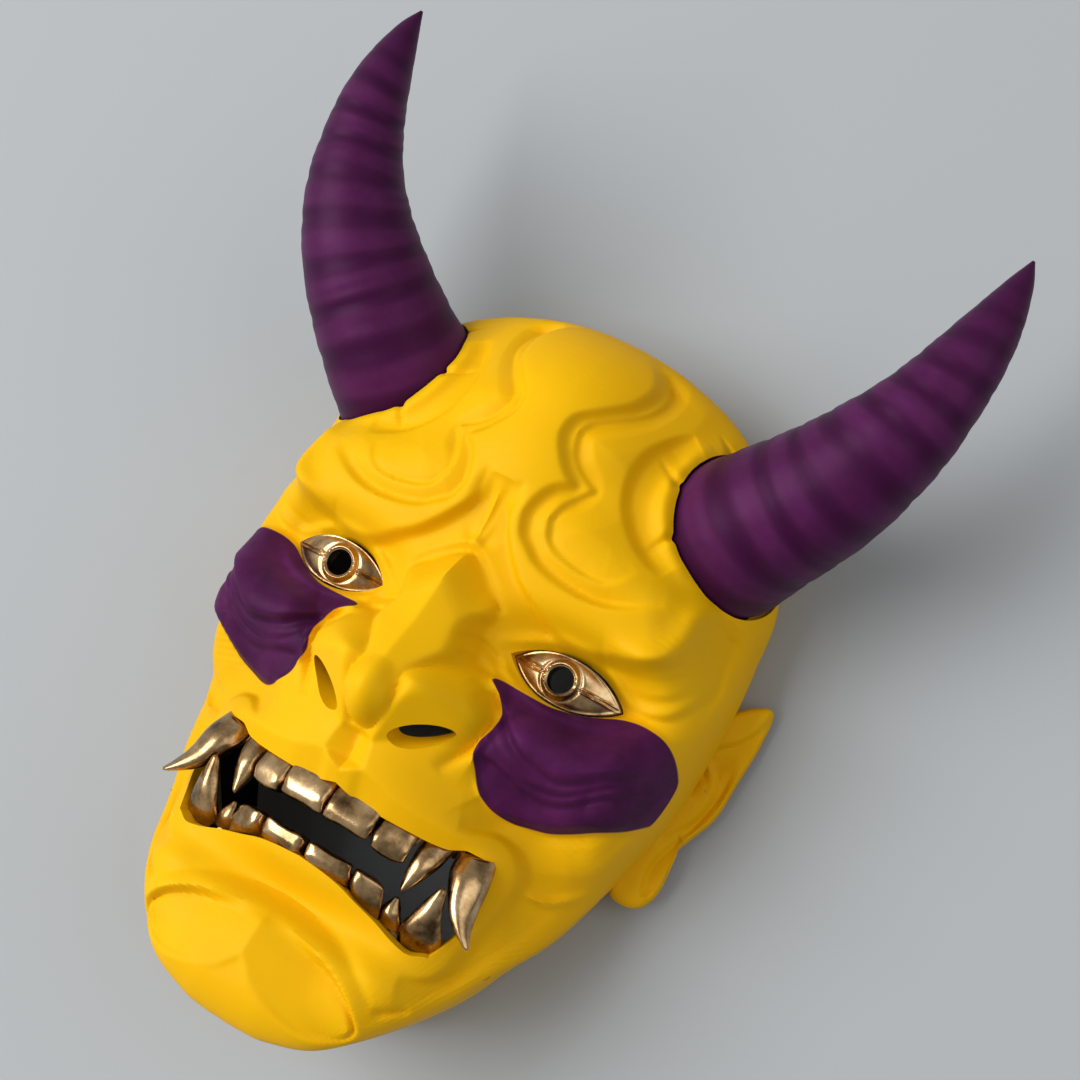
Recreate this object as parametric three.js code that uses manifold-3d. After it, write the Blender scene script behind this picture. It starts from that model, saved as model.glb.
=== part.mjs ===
// Oni mask: a hollow face shell with two horns, two eye plates and two sets of teeth.
// Millimetres, +Z up. The mask lies on its rim: X runs across the face, Y from chin to horns,
// Z out of the face. Points are worked out about the middle of the line between the pupils,
// and the whole mask is then moved so that its rim lies at Z 0.
import * as THREE from 'three';
import { mergeVertices } from 'three/addons/utils/BufferGeometryUtils.js';
import Module from 'manifold-3d';

const wasm = await Module();
wasm.setup();

// Driving dimensions
const PUPIL_X = 33;              // half the distance between the pupils
const RIM_BELOW_PUPILS = 52;     // depth of the rim behind the line of the pupils
const MID_Y = 15.29;             // pupils to the middle of the whole length
const WALL = 4;                  // thickness of the cast shell
const RIM_LEAN = 4;              // how far the side walls draw in from the widest line to the rim
const GAP = 0.35;                // clearance between pieces that meet
const MOUTH_CORNER_X = 37.5;
const MOUTH_SIDE_X = 41;         // half width of the mouth halfway down its side
const RIM_BAND = 4;              // band along the widest line where heights aren't averaged
const BLUR = 1.7;                // reach of the averaging that keeps carved lines even on the grid
const CREASE = 3;                // narrowest half width of a carved line that the solid carries
const EYE_IN_X = 19.1;
const EYE_OUT_X = 48.7;
const EYE_HALF_HEIGHT = 6.5;
const PUPIL_RADIUS = 3.4;
const EYE_PLATE = 2.4;           // thickness of an eye plate
const HORN_SIDES = 12;
const HORN_STEPS = 22;
const RING_RISE = 0.4;           // how far the horn's rings rise and sink
const HORN_HOLE_STEPS = 10;      // steps of the horn that the hole for it follows

// Height of the face above the line of the pupils: y, on the middle line, at x = 30 and at x = 55
const PROFILE = [
  [-112, 12, 9, 4], [-94, 14.5, 12.5, 6], [-84, 13, 10.5, 2], [-76, 6, 6, -8], [-68, 11.5, 6.5, -12],
  [-46, 16.5, 6, -13], [-36, 18.5, 4, -5], [-17, 14, 9.5, 5], [0, 11, 4.5, -3], [14, 11, 7, 1],
  [24, 12, 9, 0], [42, 13, 1.5, -11], [60, 9.5, -5, -18], [88, 3, -12, -26],
];

// Widest line of the head, chin to crown: x, y, its depth, and the radius that rounds the face over to it
const OUTLINE = [
  [0, -110.5, 4, 12], [12, -109.5, 4, 12], [24, -105, 4, 12], [34, -96, 0, 14], [42.5, -85, -7, 17],
  [49, -72, -15, 20], [55.5, -60, -23, 24], [60, -46, -30, 24], [64.3, -29, -35, 15], [67, -15, -38, 14],
  [68, 0, -38, 16], [69.5, 15, -38, 18], [69, 27, -38, 24], [66, 42, -36, 28], [59.5, 57, -32, 30],
  [49, 70.5, -26, 30], [36, 79.5, -25, 30], [20, 85, -25, 30], [0, 87, -25, 30],
];

// Carved lines of the right half, as cuts: depth, softness, step up on the left of travel, its reach,
// fade at the start and end as shares of the length, and the points the line runs through
const CUTS = [
  // outer ring of the brow swirl, its inner oval, and the forehead waves
  {
    cut: 2.6, soft: 2.0, step: 1.2, reach: 4, fade: [0.05, 0.25],
    line: [
      [14, 43], [9.5, 38], [8.3, 32], [10, 26], [16, 21.5], [24, 19.2], [33, 18.6], [39.5, 21],
      [41.5, 26], [38, 30],
    ],
  },
  {
    cut: 2.2, soft: 1.8, step: 1.0, reach: 4, fade: [0.05, 0.3],
    line: [
      [19, 44], [15, 39], [13.6, 33], [16.5, 28], [24, 24.6], [31, 24], [34.5, 27.5], [31.5, 32],
    ],
  },
  {
    cut: 1.6, soft: 1.8, step: 1.8, reach: 4, fade: [0.15, 0.02],
    line: [
      [10, 83], [16, 79], [16.5, 72], [11, 64], [6.5, 58.5], [6.2, 53], [9, 48], [14, 43],
    ],
  },
  {
    cut: 1.2, soft: 1.6, step: 1.2, reach: 4, fade: [0.15, 0.02],
    line: [
      [15, 82], [20, 76], [18.5, 68], [12.5, 61.5], [9.3, 56], [11, 50], [19, 44],
    ],
  },
  {
    cut: 2.4, soft: 2.0, step: 1.6, reach: 5, fade: [0.2, 0.3],
    line: [
      [28, 69], [24.6, 61], [23.8, 53], [25.5, 46], [30.5, 38.5], [37, 34], [44, 32],
    ],
  },
  // frown between the brows
  {
    cut: 1.8, soft: 1.5, step: 0, reach: 4, fade: [0.3, 0.1],
    line: [
      [5, 37], [4.8, 30], [4, 23], [0.5, 19.5],
    ],
  },
  {
    cut: 2.4, soft: 2.0, step: 1.0, reach: 4, fade: [0.02, 0.2],
    line: [
      [0.5, 20], [5, 17.5], [9, 14.5], [12, 12.5], [17, 8], [19, 5],
    ],
  },
  // creases beside the eye
  {
    cut: 1.6, soft: 1.5, step: 0, reach: 4, fade: [0.2, 0.2],
    line: [
      [46, 11], [52, 9.3], [58, 9], [62, 14],
    ],
  },
  {
    cut: 1.6, soft: 1.5, step: 0, reach: 4, fade: [0.2, 0.2],
    line: [
      [46, 5], [53, 2.5], [58, 3], [64, 9],
    ],
  },
  // edge of the cheek, then its three rolls
  {
    cut: 2.2, soft: 2.2, step: 4.4, reach: 6, fade: [0.02, 0.2],
    line: [
      [21, -7.5], [25.5, -12], [26.8, -18], [25.5, -24], [28, -30], [34, -35], [42, -36],
      [52, -32.5], [60, -27], [66, -20],
    ],
  },
  {
    cut: 1.6, soft: 1.5, step: 1.2, reach: 3, fade: [0.1, 0.2],
    line: [
      [24, -9], [29, -14], [35, -19.5], [42, -21], [49, -19], [56, -13.5], [62, -11], [68, -13],
    ],
  },
  {
    cut: 1.4, soft: 1.3, step: 0.8, reach: 3, fade: [0.1, 0.2],
    line: [
      [28, -17], [34, -22], [41, -24], [48, -22.5], [56, -16.5], [62, -14], [68, -16],
    ],
  },
  {
    cut: 1.3, soft: 1.3, step: 0.6, reach: 3, fade: [0.2, 0.2],
    line: [
      [32, -25], [38, -27], [45, -26.5], [52, -22.5], [58, -17.5], [64, -16],
    ],
  },
  // fold round the corner of the mouth, creases of the jaw, and the crease above the chin
  {
    cut: 2.0, soft: 2.2, step: 0, reach: 4, fade: [0.1, 0.2],
    line: [
      [33, -42], [38, -40.5], [42.5, -42], [45.3, -47], [45.5, -56], [44, -64], [41.5, -73],
      [36, -78],
    ],
  },
  {
    cut: 1.6, soft: 1.6, step: 0.8, reach: 3, fade: [0.2, 0.2],
    line: [
      [46, -50.5], [52, -50], [57, -47], [61, -42],
    ],
  },
  {
    cut: 1.4, soft: 2.0, step: 0, reach: 4, fade: [0.3, 0.3],
    line: [
      [37, -85], [42, -81], [45, -72], [47, -64],
    ],
  },
  {
    cut: 2.6, soft: 3.0, step: 0, reach: 4, fade: [0, 0.4],
    line: [
      [0, -76.5], [10, -77], [20, -79], [28, -83], [34, -90],
    ],
  },
  // sides of the groove under the nose, and the lower edge of the chin's facets
  {
    cut: 1.2, soft: 1.3, step: 0, reach: 3, fade: [0.1, 0.2],
    line: [
      [3.6, -31], [4.6, -36], [6, -41],
    ],
  },
  {
    cut: 1.8, soft: 1.8, step: 1.2, reach: 3, fade: [0.05, 0.2],
    line: [
      [0, -93], [5, -98.5], [12, -101.5], [20, -103], [27, -101.5], [32, -97],
    ],
  },
];

// Raised rolls of the right half: height, half width, fades, and the points the crest runs through
const ROLLS = [
  {
    rise: 4.2, width: 3.4, fade: [0.2, 0.1],
    line: [
      [7, 31], [9, 24.5], [15, 17.5], [24, 12.2], [33, 10.8], [43, 11.7], [52, 14.2], [60, 19],
    ],
  },
  {
    rise: 2.2, width: 1.6, fade: [0.2, 0.25],
    line: [
      [15, 1], [20, 4], [27, 7.3], [35, 8], [43, 7], [51, 2],
    ],
  },
  {
    rise: 2.2, width: 1.8, fade: [0.2, 0.25],
    line: [
      [17, -2], [24, -5.8], [34, -8.2], [44, -6.6], [52, -2],
    ],
  },
  {
    rise: 2.8, width: 8, fade: [0.2, 0.3],
    line: [
      [29, -13], [37, -19], [46, -21.5], [53, -21],
    ],
  },
  {
    rise: 1.6, width: 2.6, fade: [0, 0.2],
    line: [
      [0, -42.5], [9, -42.5], [18, -43.5], [27, -43], [34, -42],
    ],
  },
];

// Edges of the mouth: x, y
const MOUTH_UP = [
  [0, -47], [6, -48.5], [14, -49], [24, -49], [29, -48.6], [34, -46.6], [MOUTH_CORNER_X + 1.5, -46.6],
];
const MOUTH_LOW = [
  [0, -66.5], [6, -67], [12, -68], [17, -69.6], [23, -71.4], [29, -73.6], [33, -74.4],
  [MOUTH_CORNER_X, -73],
];

// Nostril: centre of the oval hole through the wing of the nose, from outside to inside: x, y, z
const NOSTRIL = [[14.5, -32.5, 30], [14, -27.8, 16], [12.5, -17, -8]];
const NOSTRIL_TURN = THREE.MathUtils.degToRad(26);

// Eye plate: how far it shrinks inside the lids along x and y, its bulge, and its raised ring
const EYE_FIT = [0.93, 0.82];
const EYE_BULGE = 1.6;
const PUPIL_RING = 0.5;

// Ear: outline from its front, round the tip and down to the lobe, seen from the front
const EAR_THICK = 6;
const EAR_FRONT_Z = -40;         // height of the ear's face at EAR_FRONT_X
const EAR_FRONT_X = 61;
const EAR_SLOPE = 0.3;           // how fast it falls away outwards
const EAR_CENTRE = [68.5, -10];
const EAR = [
  [64.5, -5], [65, 5], [67, 14.5], [74.8, 19.6], [76, 10], [75.3, -1.5], [74.5, -12], [71.2, -20.5],
  [69.4, -26], [70.6, -34], [69, -40.4], [65, -42.9], [60, -41.5], [59.5, -34], [63, -20],
];

// Teeth of the right half, from the middle outwards: turn, lean of the root, and stations from root
// to tip, each with centre x, y, z, half width and half depth
const TOOTH_SIDES = 8;
const UPPER = [
  {
    turn: -8,
    stations: [[6.5, -49.4, 10, 5.7, 3], [6.4, -52, 10.3, 5.8, 3], [6.1, -55.2, 10, 5.3, 2.6]],
  },
  {
    turn: -22,
    stations: [[17.2, -49.7, 7, 4.1, 3], [17.4, -53, 7.4, 4.4, 3], [17.6, -56.2, 7.2, 3.2, 2.4]],
  },
  {
    turn: -35,
    stations: [
      [26, -49.7, 2.6, 3.4, 3.4], [25.9, -54, 4, 2.9, 2.6],
      [25.4, -58.5, 5.2, 1.9, 1.9], [25, -62.5, 6, 0.4, 0.5],
    ],
  },
  {
    turn: -42,
    lean: 0.3,
    stations: [
      [34.2, -49.2, -2, 3.8, 3.8], [36, -53.8, 0, 3.8, 3.2], [38.4, -58.5, 1.4, 3.1, 2.7],
      [41.8, -62.8, 3.2, 2, 1.9], [45.7, -66.7, 4.6, 0.4, 0.4],
    ],
  },
];
const LOWER = [
  {
    turn: -12,
    stations: [[6.3, -66.1, 7, 5.5, 4.4], [6.3, -64.8, 8.4, 5.5, 3.4], [6.2, -63, 9.6, 5, 2.5]],
  },
  {
    turn: -30,
    lean: -0.35,
    stations: [[17, -68.4, 4.8, 3.1, 4.2], [17, -66, 6.2, 3.3, 3.1], [17, -63, 7.4, 2.9, 2.3]],
  },
  {
    turn: -35,
    stations: [[23.6, -70.6, 1, 2.4, 3.6], [23.9, -68, 2.6, 1.9, 2.2], [24.2, -64.2, 3.8, 0.4, 0.4]],
  },
  {
    turn: -40,
    stations: [
      [30.9, -72.3, -2.4, 3.5, 3.6], [31.5, -68, 1, 3.5, 3],
      [32.4, -62, 4, 2.2, 2.1], [33.8, -56.6, 6, 0.4, 0.4],
    ],
  },
];

// Gum bar behind the lip: what the lip hides of it, what shows, its gap to the shell and its thickness
const GUM_HIDDEN = 6;
const GUM_SHOWN = 2;
const GUM_GAP = 1;
const GUM_THICK = 4.5;

// Centre line of a horn with its radius, from the root behind the wall to the tip: x, y, z, radius
const HORN = [
  [46, 48.5, -26, 20.3], [50.6, 53, -19.8, 20.2], [57, 59.2, -13.2, 18.9], [63.6, 66, -8.3, 17.7],
  [69.8, 73.5, -3.7, 16.4], [75, 81.5, 0.3, 14.8], [79.6, 90.6, 2.8, 13], [83, 100.6, 4.1, 11],
  [85.6, 111.3, 4.6, 9.1], [87.3, 122.4, 4, 6.7], [88.1, 133.5, 3.1, 3.4], [88.1, 141, 2, 0.5],
];

// A smooth curve of y over x through [x, y] pairs, without overshoot
function curve(pairs, column = 1) {
  const n = pairs.length;
  const slopes = pairs.map((p, i) => {
    const before = i > 0 ? (p[column] - pairs[i - 1][column]) / (p[0] - pairs[i - 1][0]) : null;
    const after = i < n - 1 ? (pairs[i + 1][column] - p[column]) / (pairs[i + 1][0] - p[0]) : null;
    if (before === null) return after;
    if (after === null) return before;
    return before * after > 0 ? (2 * before * after) / (before + after) : 0;
  });
  return (x) => {
    const q = THREE.MathUtils.clamp(x, pairs[0][0], pairs[n - 1][0]);
    let k = 0;
    while (k < n - 2 && q >= pairs[k + 1][0]) k += 1;
    const h = pairs[k + 1][0] - pairs[k][0];
    const t = (q - pairs[k][0]) / h;
    const a = (2 * t ** 3 - 3 * t * t + 1) * pairs[k][column] + (t ** 3 - 2 * t * t + t) * h * slopes[k];
    return a + (-2 * t ** 3 + 3 * t * t) * pairs[k + 1][column] + (t ** 3 - t * t) * h * slopes[k + 1];
  };
}

// Points of a Catmull-Rom line through rows of any number of values
function through(rows, steps) {
  const last = rows.length - 1;
  const at = (i) => {
    if (i < 0) return rows[0].map((v, c) => 2 * v - rows[1][c]);
    if (i > last) return rows[last].map((v, c) => 2 * v - rows[last - 1][c]);
    return rows[i];
  };
  return Array.from({ length: steps + 1 }, (_, s) => {
    const u = (s / steps) * last;
    const i = Math.min(Math.floor(u), last - 1);
    const t = u - i;
    const [a, b, c, d] = [at(i - 1), at(i), at(i + 1), at(i + 2)];
    return b.map((_v, k) => 0.5 * (2 * b[k] + (c[k] - a[k]) * t
      + (2 * a[k] - 5 * b[k] + 4 * c[k] - d[k]) * t * t + (3 * b[k] - a[k] - 3 * c[k] + d[k]) * t ** 3));
  });
}

// Distance from a point to a polyline, the share of its length there, and the side: +1 on the left
function nearest(points, x, y) {
  let best = { distance: Infinity };
  let run = 0;
  for (let i = 0; i < points.length - 1; i += 1) {
    const [ax, ay] = points[i];
    const dx = points[i + 1][0] - ax;
    const dy = points[i + 1][1] - ay;
    const length = Math.hypot(dx, dy);
    const t = THREE.MathUtils.clamp(((x - ax) * dx + (y - ay) * dy) / length ** 2, 0, 1);
    const distance = Math.hypot(x - ax - t * dx, y - ay - t * dy);
    if (distance < best.distance) {
      const side = Math.sign(dx * (y - ay) - dy * (x - ax));
      best = { distance, index: i, along: run + t * length, side };
    }
    run += length;
  }
  best.share = best.along / run;
  return best;
}

function fade(share, [start, end]) {
  const a = start > 0 ? THREE.MathUtils.clamp(share / start, 0, 1) ** 0.7 : 1;
  const b = end > 0 ? THREE.MathUtils.clamp((1 - share) / end, 0, 1) ** 0.7 : 1;
  return a * b;
}

// The higher of two heights, with the corner between them rounded over the width k
function join(a, b, k) {
  const h = THREE.MathUtils.clamp(0.5 + (0.5 * (a - b)) / k, 0, 1);
  return b * (1 - h) + a * h + k * h * (1 - h);
}

// Top of an ellipsoid turned in the plane of the face, dropping away fast outside its outline
function mound(x, y, [cx, cy, cz], [rx, ry, rz], turn = 0) {
  const c = Math.cos(THREE.MathUtils.degToRad(turn));
  const s = Math.sin(THREE.MathUtils.degToRad(turn));
  const u = ((x - cx) * c + (y - cy) * s) / rx;
  const v = (-(x - cx) * s + (y - cy) * c) / ry;
  const q = 1 - u * u - v * v;
  return cz + rz * (q > 0 ? Math.sqrt(q) : 1.5 * q);
}

const profile = [1, 2, 3].map((column) => curve(PROFILE, column));
const cuts = CUTS.map((c) => ({ ...c, points: through(c.line, 5 * c.line.length) }));
const rolls = ROLLS.map((r) => ({ ...r, points: through(r.line, 5 * r.line.length) }));
const outline = through(OUTLINE, 108);
// Nose: height of its ridge, fall of the roof on each side, and where the roof breaks off, over y
const noseRidge = curve([
  [-30, 31], [-26, 31.5], [-15, 26.4], [-4.5, 20.6], [3, 18], [9, 16.6], [15, 14.6], [24, 8], [40, -10],
]);
const noseSlope = curve([[-30, 0.6], [-15, 0.42], [-8, 0.36], [0, 0.42], [8, 0.5], [16, 0.45]]);
const noseBorder = curve([[-30, 6.5], [-16, 7], [-9, 10.4], [0, 8.2], [7.5, 11.6], [12, 9.6]]);
const NOSE_BREAK = 1.9;          // fall of the side of the nose past the roof's border
const NOSE_UNDER = -29;          // y where the nose turns under
const WING = [9.8, -19.4, 9];    // middle of the wing of the nose and its lowest height

// Front of the head before carving: an even quartic in x through the three profile heights
function front(x, y) {
  const [mid, near, far] = profile.map((f) => f(y));
  const [n2, f2] = [30 ** 2, 55 ** 2];
  const d = n2 * f2 * f2 - f2 * n2 * n2;
  const a = ((near - mid) * f2 * f2 - (far - mid) * n2 * n2) / d;
  const b = ((far - mid) * n2 - (near - mid) * f2) / d;
  const x2 = Math.min(x * x, 4900);
  return mid + a * x2 + b * x2 * x2;
}

function socket(x, y) {
  const q = ((x - 34) / 24) ** 2 + ((y - 0.5) / 11.5) ** 2;
  return q < 4 ? -7 * Math.exp(-0.9 * q * q) : 0;
}

// Rounds a height over to the widest line of the head; inset moves that line inwards
function roundOver(z, x, y, inset = 0) {
  const near = nearest(outline, x, y);
  const [, , depth, radius] = outline[near.index];
  const t = THREE.MathUtils.clamp((near.distance - inset) / (radius - inset), 0, 1);
  return depth + (z - depth) * Math.sqrt(Math.max(1 - (1 - t) ** 2, 0));
}

// Roof of the nose: two planes from the ridge, breaking off at a border
function noseRoof(x, y) {
  const roof = noseRidge(y) - noseSlope(y) * x - NOSE_BREAK * Math.max(x - noseBorder(y), 0);
  return roof - 4 * Math.max(NOSE_UNDER - y, 0);
}

// Wing of the nose: a bowl-shaped swelling cut off below by a slanting plane
function noseWing(x, y) {
  const u = (x - WING[0]) / (x > WING[0] ? 15 : 8.6);
  const v = (y - WING[1]) / (y > WING[1] ? 10.8 : 15);
  const under = 17 + 0.66 * (y + 18.3) - 0.78 * (x - 21.1);
  return -join(-(WING[2] + 16.4 * (1 - u * u - v * v)), -under, 1.2);
}

// Height of the outer face at a point of the right half
function face(x, y) {
  let z = front(x, y) + socket(x, y);
  for (const roll of rolls) {
    const near = nearest(roll.points, x, y);
    z += roll.rise * Math.exp(-((near.distance / roll.width) ** 2)) * fade(near.share, roll.fade);
  }
  z = join(z, noseRoof(x, y), 1.5);
  z = join(z, mound(x, y, [0, -22, 14], [8.8, 11.6, 17.5]), 1);
  z = join(z, noseWing(x, y), 1);
  for (const c of cuts) {
    const near = nearest(c.points, x, y);
    const f = fade(near.share, c.fade);
    const wide = Math.max(1.6 * c.soft, CREASE);
    z -= c.cut * Math.exp(-((near.distance / wide) ** 2)) * f;
    const shoulder = (1 - Math.exp(-near.distance / 2)) * Math.exp(-((near.distance / c.reach) ** 2));
    z += 0.5 * c.step * near.side * f * shoulder;
  }
  return roundOver(z, x, y);
}

// Height of the smooth inner face, one wall behind the outer one
function lining(x, y) {
  const nose = 11 * Math.exp(-((x / 11) ** 2) - (((y + 14) / 17) ** 2));
  const z = front(x, y) + socket(x, y) - 1.5 + nose - WALL;
  return roundOver(z, x, y, WALL);
}

// Key lines of the grid, each as a function of x, from the chin up
const outlineY = (from, to) => {
  const rows = outline.slice(from, to + 1).map(([x, y]) => [x, y]).sort((a, b) => a[0] - b[0]);
  return curve(rows);
};
const CORNER_LOW = 18;           // steps of the outline where the chin line ends and the side begins
const CORNER_HIGH = 90;          // and where the side ends and the crown begins
const chinY = outlineY(0, CORNER_LOW);
const crownY = outlineY(CORNER_HIGH, 108);
const sideX = curve(outline.slice(CORNER_LOW, CORNER_HIGH + 1).map(([x, y]) => [y, x]));
const mouthUpY = curve([...MOUTH_UP, [44, -45.5], [70, -43]]);
const mouthLowY = curve([...MOUTH_LOW, [60, -72]]);
const lidY = (x, sign) => {
  const u = (2 * x - EYE_IN_X - EYE_OUT_X) / (EYE_OUT_X - EYE_IN_X);
  return Math.abs(u) < 1 ? sign * EYE_HALF_HEIGHT * (1 - Math.abs(u) ** 2.2) ** 0.9 : 0;
};

// Columns: middle line, inner eye corner, outer eye corner above and mouth corner below, side of the head
const innerColumn = curve([[-110, 13], [-74, 18], [-45, 20], [0, EYE_IN_X], [87, 16]]);
const outerColumn = curve([
  [-110, 24], [-74, MOUTH_CORNER_X], [-62, MOUTH_SIDE_X], [-52, MOUTH_SIDE_X],
  [-47, MOUTH_CORNER_X + 1.5], [0, EYE_OUT_X], [40, 44], [87, 34],
]);
const COLUMNS = [6, 8, 6];
const ROWS = [8, 6, 14, 18];    // chin, mouth, nose and cheek, brow and forehead
const easeOut = (t) => Math.sin((t * Math.PI) / 2);

function columnPoints() {
  const list = [];
  COLUMNS.forEach((count, band) => {
    for (let i = band === 0 ? 0 : 1; i <= count; i += 1) list.push([band, i / count]);
  });
  return list;
}
const columns = columnPoints();
const LAST = columns.length - 1;
const MOUTH_COLUMN = COLUMNS[0] + COLUMNS[1];

// The x of a column at a height, with the last band crowding towards the side of the head
function columnX(j, y, side) {
  const [band, t] = columns[j];
  const stops = [0, innerColumn(y), outerColumn(y), side];
  return THREE.MathUtils.lerp(stops[band], stops[band + 1], band === 2 ? easeOut(t) : t);
}

// Key rows: chin, lower lip, upper lip, line of the eyes, crown
const cornerLow = outline[CORNER_LOW];
const cornerHigh = outline[CORNER_HIGH];
const KEY_Y = [cornerLow[1], -74, -47, 0, cornerHigh[1]];
const KEY_SIDE = [cornerLow[0], sideX(-72), sideX(-44), sideX(0), cornerHigh[0]];
const keyRows = [chinY, mouthLowY, mouthUpY, () => 0, crownY].map((rowY, row) => columns.map((_c, j) => {
  const x = columnX(j, KEY_Y[row], KEY_SIDE[row]);
  return [x, rowY(x)];
}));

// Rows of grid points between two key rows; the first and last bands crowd towards the outline
function rowPoint(band, t, j) {
  const share = [1 - easeOut(1 - t), t, t, easeOut(t)][band];
  const [x0, y0] = keyRows[band][j];
  const [x1, y1] = keyRows[band + 1][j];
  const lid = band === 2 ? lidY(x1, -1) : 0;
  const lid0 = band === 3 ? lidY(x0, 1) : 0;
  const y = THREE.MathUtils.lerp(y0 + lid0, y1 + lid, share);
  if (share === 0) return [x0, y];
  if (share === 1) return [x1, y];
  const edgeY = THREE.MathUtils.lerp(keyRows[band][LAST][1], keyRows[band + 1][LAST][1], share);
  const x = columnX(j, THREE.MathUtils.lerp(KEY_Y[band], KEY_Y[band + 1], share), sideX(edgeY));
  const [columnBand, part] = columns[j];
  return [x, columnBand < 2 ? y : THREE.MathUtils.lerp(y, edgeY, part ** 4)];
}

const bands = ROWS.map((count, band) => Array.from({ length: count + 1 }, (_, i) => (
  columns.map((_c, j) => rowPoint(band, i / count, j))
)));

// Height averaged over a small square, so that no carved line is lost between grid points
function outerPoint([x, y]) {
  const spread = [-BLUR, 0, BLUR];
  let sum = 0;
  for (const dx of spread) for (const dy of spread) sum += face(Math.abs(x + dx), y + dy);
  const mean = sum / spread.length ** 2;
  return [x, y, nearest(outline, x, y).distance < RIM_BAND ? face(x, y) : mean];
}

// A grid point moved in from the side of the head, where the inner face is smaller by the wall
function innerPoint([x, y]) {
  const near = nearest(outline, x, y);
  const [ax, ay] = outline[near.index];
  const [bx, by] = outline[near.index + 1];
  const length = Math.hypot(bx - ax, by - ay);
  const shift = WALL * Math.max(1 - near.distance / 18, 0);
  const px = x === 0 ? 0 : x - (shift * (by - ay)) / length;
  const py = y + (shift * (bx - ax)) / length;
  return [px, py, lining(px, py)];
}

// Triangles are gathered as loose corners; each call adds the mirrored one too
const soup = [];
function triangle(a, b, c) {
  soup.push(a, b, c);
  const flip = ([x, y, z]) => [-x, y, z];
  soup.push(flip(a), flip(c), flip(b));
}
function quad(a, b, c, d) {
  triangle(a, b, c);
  triangle(a, c, d);
}

// Joins a coarse inner line to a fine outer line that has twice its points
function zip(fine, coarse) {
  for (let i = 0; i < coarse.length - 1; i += 1) {
    triangle(coarse[i], fine[2 * i], fine[2 * i + 1]);
    triangle(coarse[i], fine[2 * i + 1], coarse[i + 1]);
    triangle(coarse[i + 1], fine[2 * i + 1], fine[2 * i + 2]);
  }
}
const every2nd = (line) => line.filter((_p, i) => i % 2 === 0);

const outerBands = bands.map((rows) => rows.map((row) => row.map(outerPoint)));
const innerBands = bands.map((rows) => every2nd(rows).map((row) => every2nd(row).map(innerPoint)));
outerBands.forEach((rows, band) => {
  for (let i = 0; i < rows.length - 1; i += 1) {
    for (let j = band === 1 ? MOUTH_COLUMN : 0; j < LAST; j += 1) {
      quad(rows[i][j], rows[i][j + 1], rows[i + 1][j + 1], rows[i + 1][j]);
    }
  }
});
innerBands.forEach((rows, band) => {
  for (let i = 0; i < rows.length - 1; i += 1) {
    for (let j = band === 1 ? MOUTH_COLUMN / 2 : 0; j < LAST / 2; j += 1) {
      quad(rows[i][j], rows[i + 1][j], rows[i + 1][j + 1], rows[i][j + 1]);
    }
  }
});

// Edges of the mouth and of the eyes
const EYE_FROM = COLUMNS[0];
const lowLip = outerBands[1][0].slice(0, MOUTH_COLUMN + 1);
const highLip = outerBands[1][ROWS[1]].slice(0, MOUTH_COLUMN + 1);
const mouthSide = outerBands[1].map((row) => row[MOUTH_COLUMN]);
const lowLipIn = innerBands[1][0].slice(0, MOUTH_COLUMN / 2 + 1);
const highLipIn = innerBands[1][ROWS[1] / 2].slice(0, MOUTH_COLUMN / 2 + 1);
const mouthSideIn = innerBands[1].map((row) => row[MOUTH_COLUMN / 2]);
zip(lowLip, lowLipIn);
zip([...highLip].reverse(), [...highLipIn].reverse());
zip(mouthSide, mouthSideIn);
const lowLid = outerBands[2][ROWS[2]].slice(EYE_FROM, MOUTH_COLUMN + 1);
const highLid = outerBands[3][0].slice(EYE_FROM, MOUTH_COLUMN + 1);
const lowLidIn = innerBands[2][ROWS[2] / 2].slice(EYE_FROM / 2, MOUTH_COLUMN / 2 + 1);
const highLidIn = innerBands[3][0].slice(EYE_FROM / 2, MOUTH_COLUMN / 2 + 1);
zip(lowLid, lowLidIn);
zip([...highLid].reverse(), [...highLidIn].reverse());

// Side wall: from the widest line down to the flat rim, drawing in as it goes
function edgeOf(bandRows) {
  const side = bandRows.flatMap((rows) => rows.slice(1).map((row) => row[row.length - 1]));
  const crown = bandRows[3][bandRows[3].length - 1];
  return [...bandRows[0][0], ...side, ...[...crown].reverse().slice(1)];
}
const edgeOut = edgeOf(outerBands);
const edgeIn = edgeOf(innerBands);
function lowered(line, share, inwards) {
  return line.map(([x, y, z]) => {
    const near = nearest(outline, Math.abs(x), y);
    const [ax, ay] = outline[near.index];
    const [bx, by] = outline[near.index + 1];
    const length = Math.hypot(bx - ax, by - ay);
    const lean = inwards * share ** 1.5;
    const low = THREE.MathUtils.lerp(z, -RIM_BELOW_PUPILS, share);
    return [x === 0 ? 0 : x - (lean * (by - ay)) / length, y + (lean * (bx - ax)) / length, low];
  });
}
const wallOut = [0, 0.5, 1].map((share) => lowered(edgeOut, share, RIM_LEAN));
const wallIn = [0, 1].map((share) => lowered(edgeIn, share, RIM_LEAN));
for (let k = 0; k < wallOut.length - 1; k += 1) {
  for (let i = 0; i < edgeOut.length - 1; i += 1) {
    quad(wallOut[k][i], wallOut[k + 1][i], wallOut[k + 1][i + 1], wallOut[k][i + 1]);
  }
}
for (let i = 0; i < edgeIn.length - 1; i += 1) {
  quad(wallIn[0][i], wallIn[0][i + 1], wallIn[1][i + 1], wallIn[1][i]);
}
zip([...wallOut[2]].reverse(), [...wallIn[1]].reverse());

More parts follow.
